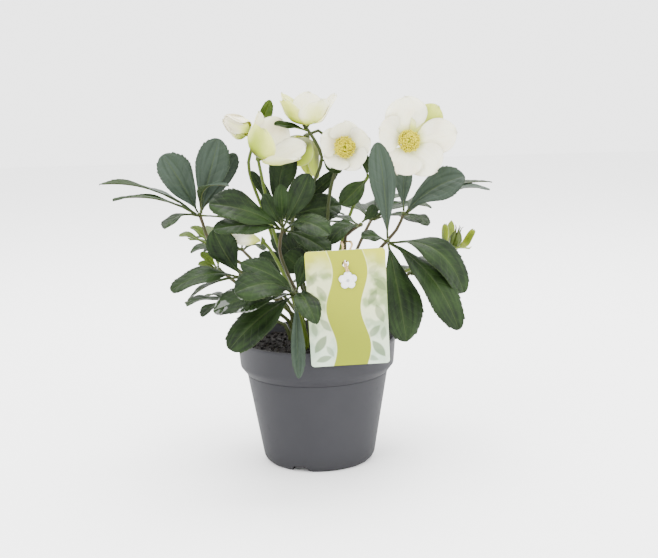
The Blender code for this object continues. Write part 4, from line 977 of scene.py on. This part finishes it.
def build_charm(looks):
    """The small white flower on the knot: five domed petals round a button."""
    out = CARD_THICKNESS / 2 + 0.35 + CHARM_THICKNESS / 2
    matrix = card_frame() @ Matrix.Translation((1.2, -out, CARD_HOLE_UP - CHARM_DROP))
    points, place = [], []
    front = list(range(CHARM_RINGS))
    for face, rows in ((1, front), (-1, front[::-1])):
        for row in rows:
            reach = (row + 0.2) / (CHARM_RINGS - 0.8)
            for step in range(CHARM_SIDES):
                spin = 2 * math.pi * step / CHARM_SIDES
                wave = 2.5 * (spin - math.radians(90))
                lobe = 0.72 + 0.28 * abs(math.cos(wave)) ** 0.8
                crease = 1 - abs(math.sin(wave)) ** 8
                dome = math.sqrt(max(0.0, 1 - reach ** 4)) * (0.62 + 0.38 * crease * reach)
                radius = CHARM_RADIUS * lobe * reach
                points.append((radius * math.cos(spin), -face * dome * CHARM_THICKNESS / 2,
                               radius * math.sin(spin)))
                place.append((reach, 0, 0))
    form = Form()
    form.add(moved(points, matrix), tube_faces(2 * CHARM_RINGS, CHARM_SIDES, True), 0, place)
    ball(form, matrix @ Vector((0, -CHARM_THICKNESS * 0.36, 0)), (1.3, 0.6), 1,
         matrix.to_3x3() @ Vector((0, -1, 0)))
    form.finish("tag_charm", "charm", looks["charm"], looks["button"])


class Value:
    """What a node gives; the signs of arithmetic make the math nodes that follow it."""

    def __init__(self, shader, socket):
        self.shader = shader
        self.socket = socket

    def __add__(self, other):
        return self.shader.math("ADD", self, other)

    def __sub__(self, other):
        return self.shader.math("SUBTRACT", self, other)

    def __rsub__(self, other):
        return self.shader.math("SUBTRACT", other, self)

    def __mul__(self, other):
        return self.shader.math("MULTIPLY", self, other)

    def __abs__(self):
        return self.shader.math("ABSOLUTE", self)


class Shader:
    """A Principled material with short calls for the nodes that feed it."""

    def __init__(self, name, roughness=0.5, **constants):
        self.material = bpy.data.materials.new(name)
        self.material.use_nodes = True
        self.tree = self.material.node_tree
        self.main = self.tree.nodes["Principled BSDF"].inputs
        self.main["Roughness"].default_value = roughness
        for title, value in constants.items():
            self.main[title.replace("_", " ")].default_value = value

    def feed(self, socket, value):
        """Link a socket, or set a constant."""
        if isinstance(value, Value):
            self.tree.links.new(value.socket, socket)
        elif isinstance(value, tuple) and socket.type == "RGBA":
            socket.default_value = (*value, 1.0)
        else:
            socket.default_value = value

    def node(self, kind, output, inputs, **settings):
        """What a new node gives, once it has its settings and inputs."""
        node = self.tree.nodes.new("ShaderNode" + kind)
        for title, value in settings.items():
            setattr(node, title, value)
        for title, value in inputs.items():
            self.feed(node.inputs[title], value)
        return Value(self, node.outputs[output])

    def math(self, operation, first, second=0.0):
        """A math node."""
        return self.node("Math", 0, {0: first, 1: second}, operation=operation)

    def band(self, value, low, high, to_low=0.0, to_high=1.0):
        """A smooth step of a value from low to high."""
        return self.node("MapRange", "Result",
                         {"Value": value, "From Min": low, "From Max": high, "To Min": to_low,
                          "To Max": to_high}, interpolation_type="SMOOTHSTEP")

    def mix(self, factor, first, second):
        """A mix of two colours."""
        return self.node("Mix", 2, {0: factor, 6: first, 7: second}, data_type="RGBA")

    def split(self, vector):
        """The three numbers of a vector."""
        node = self.tree.nodes.new("ShaderNodeSeparateXYZ")
        self.feed(node.inputs[0], vector)
        return [Value(self, socket) for socket in node.outputs]

    def marks(self, title):
        """The three numbers of a vertex mark."""
        return self.split(self.node("Attribute", "Vector", {}, attribute_name=title))

    def spot(self):
        """The place on the object, in metres."""
        return self.node("TexCoord", "Object", {})

    def noise(self, scale, detail=3.0, vector=None):
        """A noise of the given scale a metre."""
        return self.node("TexNoise", "Fac",
                         {"Vector": vector or self.spot(), "Scale": scale, "Detail": detail})

    def cells(self, scale):
        """The distance to the edges of a cell pattern of the given scale a metre."""
        return self.node("TexVoronoi", "Distance", {"Vector": self.spot(), "Scale": scale},
                         feature="DISTANCE_TO_EDGE")

    def bump(self, height, distance, strength):
        """A bump of a height in millimetres of the given distance."""
        return self.node("Bump", "Normal",
                         {"Strength": strength, "Distance": distance * MM, "Height": height})

    def finish(self, colour, roughness=None, normal=None):
        """Feed the shader and return the material."""
        for title, value in (("Base Color", colour), ("Roughness", roughness), ("Normal", normal)):
            if value is not None:
                self.feed(self.main[title], value)
        return self.material


def leaf_material(name, deep, light, rib, under, wet=False):
    """A leathery leaf: mottled green, on some leaflets a grey that is partly painted sheen, faint
    midrib and veins, a paler underside.
    """
    shader = Shader(name, Specular_IOR_Level=0.11, Coat_IOR=1.9, Coat_Roughness=0.08)
    band, mix, noise = shader.band, shader.mix, shader.noise
    across, along, vein = shader.marks("place")
    upper, tone, _ = shader.marks("kind")
    reach = abs(across)
    side_vein = band(shader.math("PINGPONG", vein, 0.5), 0.0, 0.09, 1.0, 0.0)
    side_vein = side_vein * band(reach, 0.6, 0.95, 1.0, 0.0)
    midrib = band(reach, 0.01, band(along, 0.0, 1.0, 0.12, 0.04), 1.0, 0.0)
    net = band(shader.cells(620.0), 0.0, 0.10, 1.0, 0.0)
    mottle = noise(48.0, 4.0)
    stretched = shader.node("CombineXYZ", 0, {0: across * 5.0, 1: along * 1.6, 2: tone})
    streak = noise(1.0, 3.0, stretched)

    colour = mix(band(mottle * 0.6 + streak * 0.5, 0.34, 0.76), deep, light)
    # Painted sheen: grey streaks on leaflets whose tone is 1, partly their own tone, partly the
    # reflection they catch
    painted_sheen_mask = band(tone, 0.6, 1.0) * band(streak, 0.2, 0.75, 0.45, 1.0)
    colour = mix(painted_sheen_mask, colour, PAINTED_SHEEN_GREY)
    for line, strength in ((side_vein, 0.11), (net, 0.05), (midrib, 0.38)):
        colour = mix(line * strength, colour, rib)
    below = mix(shader.math("MAXIMUM", side_vein, net) * 0.35, under, rib)
    colour = mix(upper, below, colour)
    colour = mix(band(reach, 0.94, 1.0) * 0.3, colour, rib)

    if wet:
        film = band(noise(75.0, 4.0), 0.47, 0.53)
        shader.feed(shader.main["Coat Weight"], film * upper)
    rough = mottle * 0.16 + 0.40 + band(upper, 0.2, 0.8, 0.2, 0.0)
    groove = shader.math("MAXIMUM", side_vein * 0.6, midrib)
    height = noise(420.0, 4.0) * 0.35 - groove - net * 0.12
    return shader.finish(colour, rough, shader.bump(height, 0.25, 0.6))


def stalk_material(name, green, blush, share):
    """A smooth stalk: green with a brown blush in streaks and specks, or dark olive."""
    shader = Shader(name, Specular_IOR_Level=0.2)
    band, mix, noise = shader.band, shader.mix, shader.noise
    _, along, _ = shader.marks("place")
    _, dark, _ = shader.marks("kind")
    streak = noise(70.0, 5.0)
    speck = noise(900.0, 2.0)
    amount = band(along, 0.0, 1.0, 0.25 * share, share) - 0.35
    colour = mix(band(streak, 0.3, 0.7), green, tuple(1.35 * part for part in green))
    colour = mix(band(streak + amount, 0.42, 0.72), colour, blush)
    colour = mix(band(speck, 0.62, 0.7) * 0.4, colour, blush)
    colour = mix(dark * 0.85, colour, DARK_OLIVE)
    return shader.finish(colour, speck * 0.15 + 0.34, shader.bump(noise(300.0), 0.2, 0.5))


def petal_material(name, steps):
    """A petal: cream to olive in four steps, faint veins, a rim darkened by painted shade, light that
    passes through.
    """
    shader = Shader(name, 0.5, Subsurface_Weight=0.25, Subsurface_Scale=0.002,
                    Subsurface_Radius=(1.0, 0.95, 0.6), Specular_IOR_Level=0.25)
    band, mix, noise = shader.band, shader.mix, shader.noise
    across, along, _ = shader.marks("place")
    upper, tone, greenness = shader.marks("kind")
    reach = abs(across)
    fine = noise(260.0)
    stretched = shader.node("CombineXYZ", 0, {0: across * 14.0, 1: along * 2.2, 2: tone})
    lines = noise(1.0, 4.0, stretched)
    vein = band(abs(lines - 0.5), 0.0, 0.05, 1.0, 0.0)
    base = band(along + fine * 0.12, 0.1, 0.55, 1.0, 0.0)
    middle = band(reach, 0.1, 0.9, 1.0, 0.0) * band(along, 0.35, 1.0, 1.0, 0.35)
    outside = greenness * (base * 0.35 + middle * 0.4 + 0.42) + base * 0.32
    lit = band(greenness, 0.5, 1.0) * band(along, 0.3, 0.65, 0.15, 0.62)
    hint = upper * (base * 0.25 + lit) + (1.0 - upper) * outside + (noise(45.0) - 0.5) * 0.35
    colour = mix(band(noise(34.0, 2.0), 0.45, 0.65, 0.0, 0.45), steps[0], BLUSH)
    for (low, high), step in zip(((0.02, 0.32), (0.26, 0.62), (0.56, 1.0)), steps[1:]):
        colour = mix(band(hint, low, high), colour, step)
    colour = mix(vein * 0.14, colour, steps[2])
    # Painted shade: grey along each petal's edge and tip that sets overlapping petals apart
    rim = shader.math("MAXIMUM", band(reach, 0.88, 1.0), band(along, 0.95, 1.0))
    colour = mix(rim * 0.35, colour, RIM_SHADE_GREY)
    return shader.finish(colour, fine * 0.2 + 0.42, shader.bump(lines + fine * 0.3, 0.35, 0.6))


def grain_material(name, dark, light, scale, depth, roughness, detail=4.0):
    """A surface of two tones with a bump, for powder, fibre and stone-like grain."""
    shader = Shader(name, roughness, Specular_IOR_Level=0.3)
    grain = shader.noise(scale, detail)
    mixed = grain * 0.6 + shader.noise(scale / 7) * 0.4
    return shader.finish(shader.mix(shader.band(mixed, 0.35, 0.65), dark, light), None,
                         shader.bump(grain, depth, 0.9))


def pot_material():
    """Matt grey moulded plastic with a fine grain and faint scuffs, darker towards its foot."""
    shader = Shader("pot_plastic", Specular_IOR_Level=0.14)
    band, mix, noise = shader.band, shader.mix, shader.noise
    broad = noise(14.0)
    scuff = band(noise(210.0, 6.0), 0.60, 0.72)
    height = shader.split(shader.spot())[2]
    colour = mix(band(broad, 0.3, 0.7), (0.0215, 0.0215, 0.0245), (0.0250, 0.0250, 0.0282))
    colour = mix(scuff * 0.12, colour, (0.04, 0.04, 0.042))
    # Darker in the lowest 20 mm, towards the foot
    colour = mix(band(height, 0.0, 0.02, 1.0, 0.0) * 0.25, colour, (0.015, 0.0145, 0.0145))
    ridges = shader.math("SINE", height * 9000.0)
    return shader.finish(colour, (broad + scuff) * 0.10 + 0.56,
                         shader.bump(noise(2600.0, 2.0) + ridges * 0.06, 0.06, 0.6))


def leaf_print(shader, x, z, place, size, turn):
    """A mask of one simple printed leaf: a pointed oval at a place on the card."""
    shift_x, shift_z = x - place[0], z - place[1]
    cos, sin = math.cos(math.radians(turn)), math.sin(math.radians(turn))
    along = (shift_x * cos + shift_z * sin) * (1 / size)
    across = abs(shift_z * cos - shift_x * sin)
    return shader.band((1.0 - along * along) * (0.42 * size) - across, -0.5, 0.9)


def card_material():
    """The printed card: a lime band with waved edges between pale panels with simple leaves."""
    shader = Shader("card_print", 0.32, Specular_IOR_Level=0.2)
    band, mix = shader.band, shader.mix
    away = shader.node("VectorMath", 0, {0: shader.spot(), 1: Vector(CARD_FOOT) * MM},
                       operation="SUBTRACT")
    x, y, z = (shader.node("VectorMath", "Value", {0: away, 1: axis}, operation="DOT_PRODUCT")
               * (1 / MM) for axis in card_frame().to_3x3().transposed())
    reach = abs(x - shader.math("SINE", z * 0.105) * 3.2)
    crest = z + shader.math("COSINE", x * 0.16) * 4.0
    panel = mix(band(shader.noise(90.0, 2.0), 0.4, 0.62), (0.50, 0.53, 0.30), (0.20, 0.26, 0.10))
    panel = mix(band(z, 0.0, 60.0, 0.7, 0.0), panel, (0.42, 0.54, 0.46))
    for place, size, turn, strength in PRINTED_LEAVES:
        mask = leaf_print(shader, x, z, place, size, turn)
        panel = mix(mask * strength, panel, (0.055, 0.095, 0.03))
    lime = mix(band(z, 5.0, 85.0), (0.18, 0.21, 0.0015), (0.25, 0.27, 0.003))
    colour = mix(band(crest, 66.0, 88.0), panel, (0.38, 0.39, 0.02))
    colour = mix(band(reach, 13.2, 14.2, 1.0, 0.0) * 0.5, colour, (0.60, 0.62, 0.34))
    colour = mix(band(reach, 12.6, 13.4, 1.0, 0.0), colour, lime)
    colour = mix(band(y, 0.0, 0.1), colour, (0.62, 0.63, 0.56))
    grain = shader.noise(1500.0, 2.0)
    return shader.finish(colour, grain * 0.1 + 0.28, shader.bump(grain, 0.03, 0.4))


def floor_and_light():
    """A plain pale floor, a bright even sky and three soft lamps."""
    world = bpy.data.worlds.new("studio")
    bpy.context.scene.world = world
    world.use_nodes = True
    sky = world.node_tree.nodes["Background"]
    sky.inputs["Color"].default_value = (1.0, 1.0, 1.0, 1.0)
    sky.inputs["Strength"].default_value = SKY_STRENGTH
    bpy.ops.mesh.primitive_plane_add(size=FLOOR_SIZE, location=(0, 0, 0))
    floor = bpy.context.object
    floor.name = "studio_floor"
    floor.data.materials.append(Shader("floor_paint", 0.6).finish((0.92, 0.92, 0.92)))
    for name, place, size, power, aim in LAMPS:
        lamp = bpy.data.lights.new(name, "AREA")
        lamp.size = size
        lamp.energy = power
        holder = bpy.data.objects.new(name, lamp)
        bpy.context.scene.collection.objects.link(holder)
        holder.location = place
        holder.rotation_euler = (Vector(aim) - Vector(place)).to_track_quat("-Z", "Y").to_euler()


def camera():
    """The camera, at the photograph's angle."""
    pitch, yaw, roll = (math.radians(angle) for angle in (CAMERA_PITCH, CAMERA_YAW, CAMERA_ROLL))
    forward = Vector((math.sin(yaw) * math.cos(pitch), math.cos(yaw) * math.cos(pitch),
                      -math.sin(pitch)))
    right = Vector((math.cos(yaw), -math.sin(yaw), 0))
    up = right.cross(forward)
    turned_right = right * math.cos(roll) + up * math.sin(roll)
    turned_up = up * math.cos(roll) - right * math.sin(roll)
    data = bpy.data.cameras.new("camera")
    data.sensor_width = 36
    data.lens = CAMERA_LENS
    data.clip_start = 0.01
    holder = bpy.data.objects.new("camera", data)
    bpy.context.scene.collection.objects.link(holder)
    turn = Matrix((turned_right, turned_up, -forward)).transposed().to_4x4()
    place = Vector((0, -CAMERA_BACK, CAMERA_HEIGHT)) * MM
    holder.matrix_world = Matrix.Translation(place) @ turn
    bpy.context.scene.camera = holder


def main():
    """Dress the whole plant."""
    camera()
    floor_and_light()
    looks = {
        "leaf": leaf_material("leaf", *LEAF_GREENS),
        "leaf_wet": leaf_material("leaf_wet", *LEAF_GREENS, wet=True),
        "pot": pot_material(),
    }
    for make, table in ((leaf_material, LEAF_LOOKS), (stalk_material, STALK_LOOKS),
                        (petal_material, PETAL_LOOKS), (grain_material, GRAIN_LOOKS)):
        for name, values in table.items():
            looks[name] = make(name, *values)
    for name in LEAVES:
        build_leaf(name, looks)
    for name, spec in BLOOMS.items():
        build_bloom(name, spec, looks)
    for build in (build_bud, build_seed_head, build_pot, build_soil, build_twine, build_charm):
        build(looks)
    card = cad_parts["tag_card"]
    card.data.materials.clear()
    card.data.materials.append(card_material())


main()
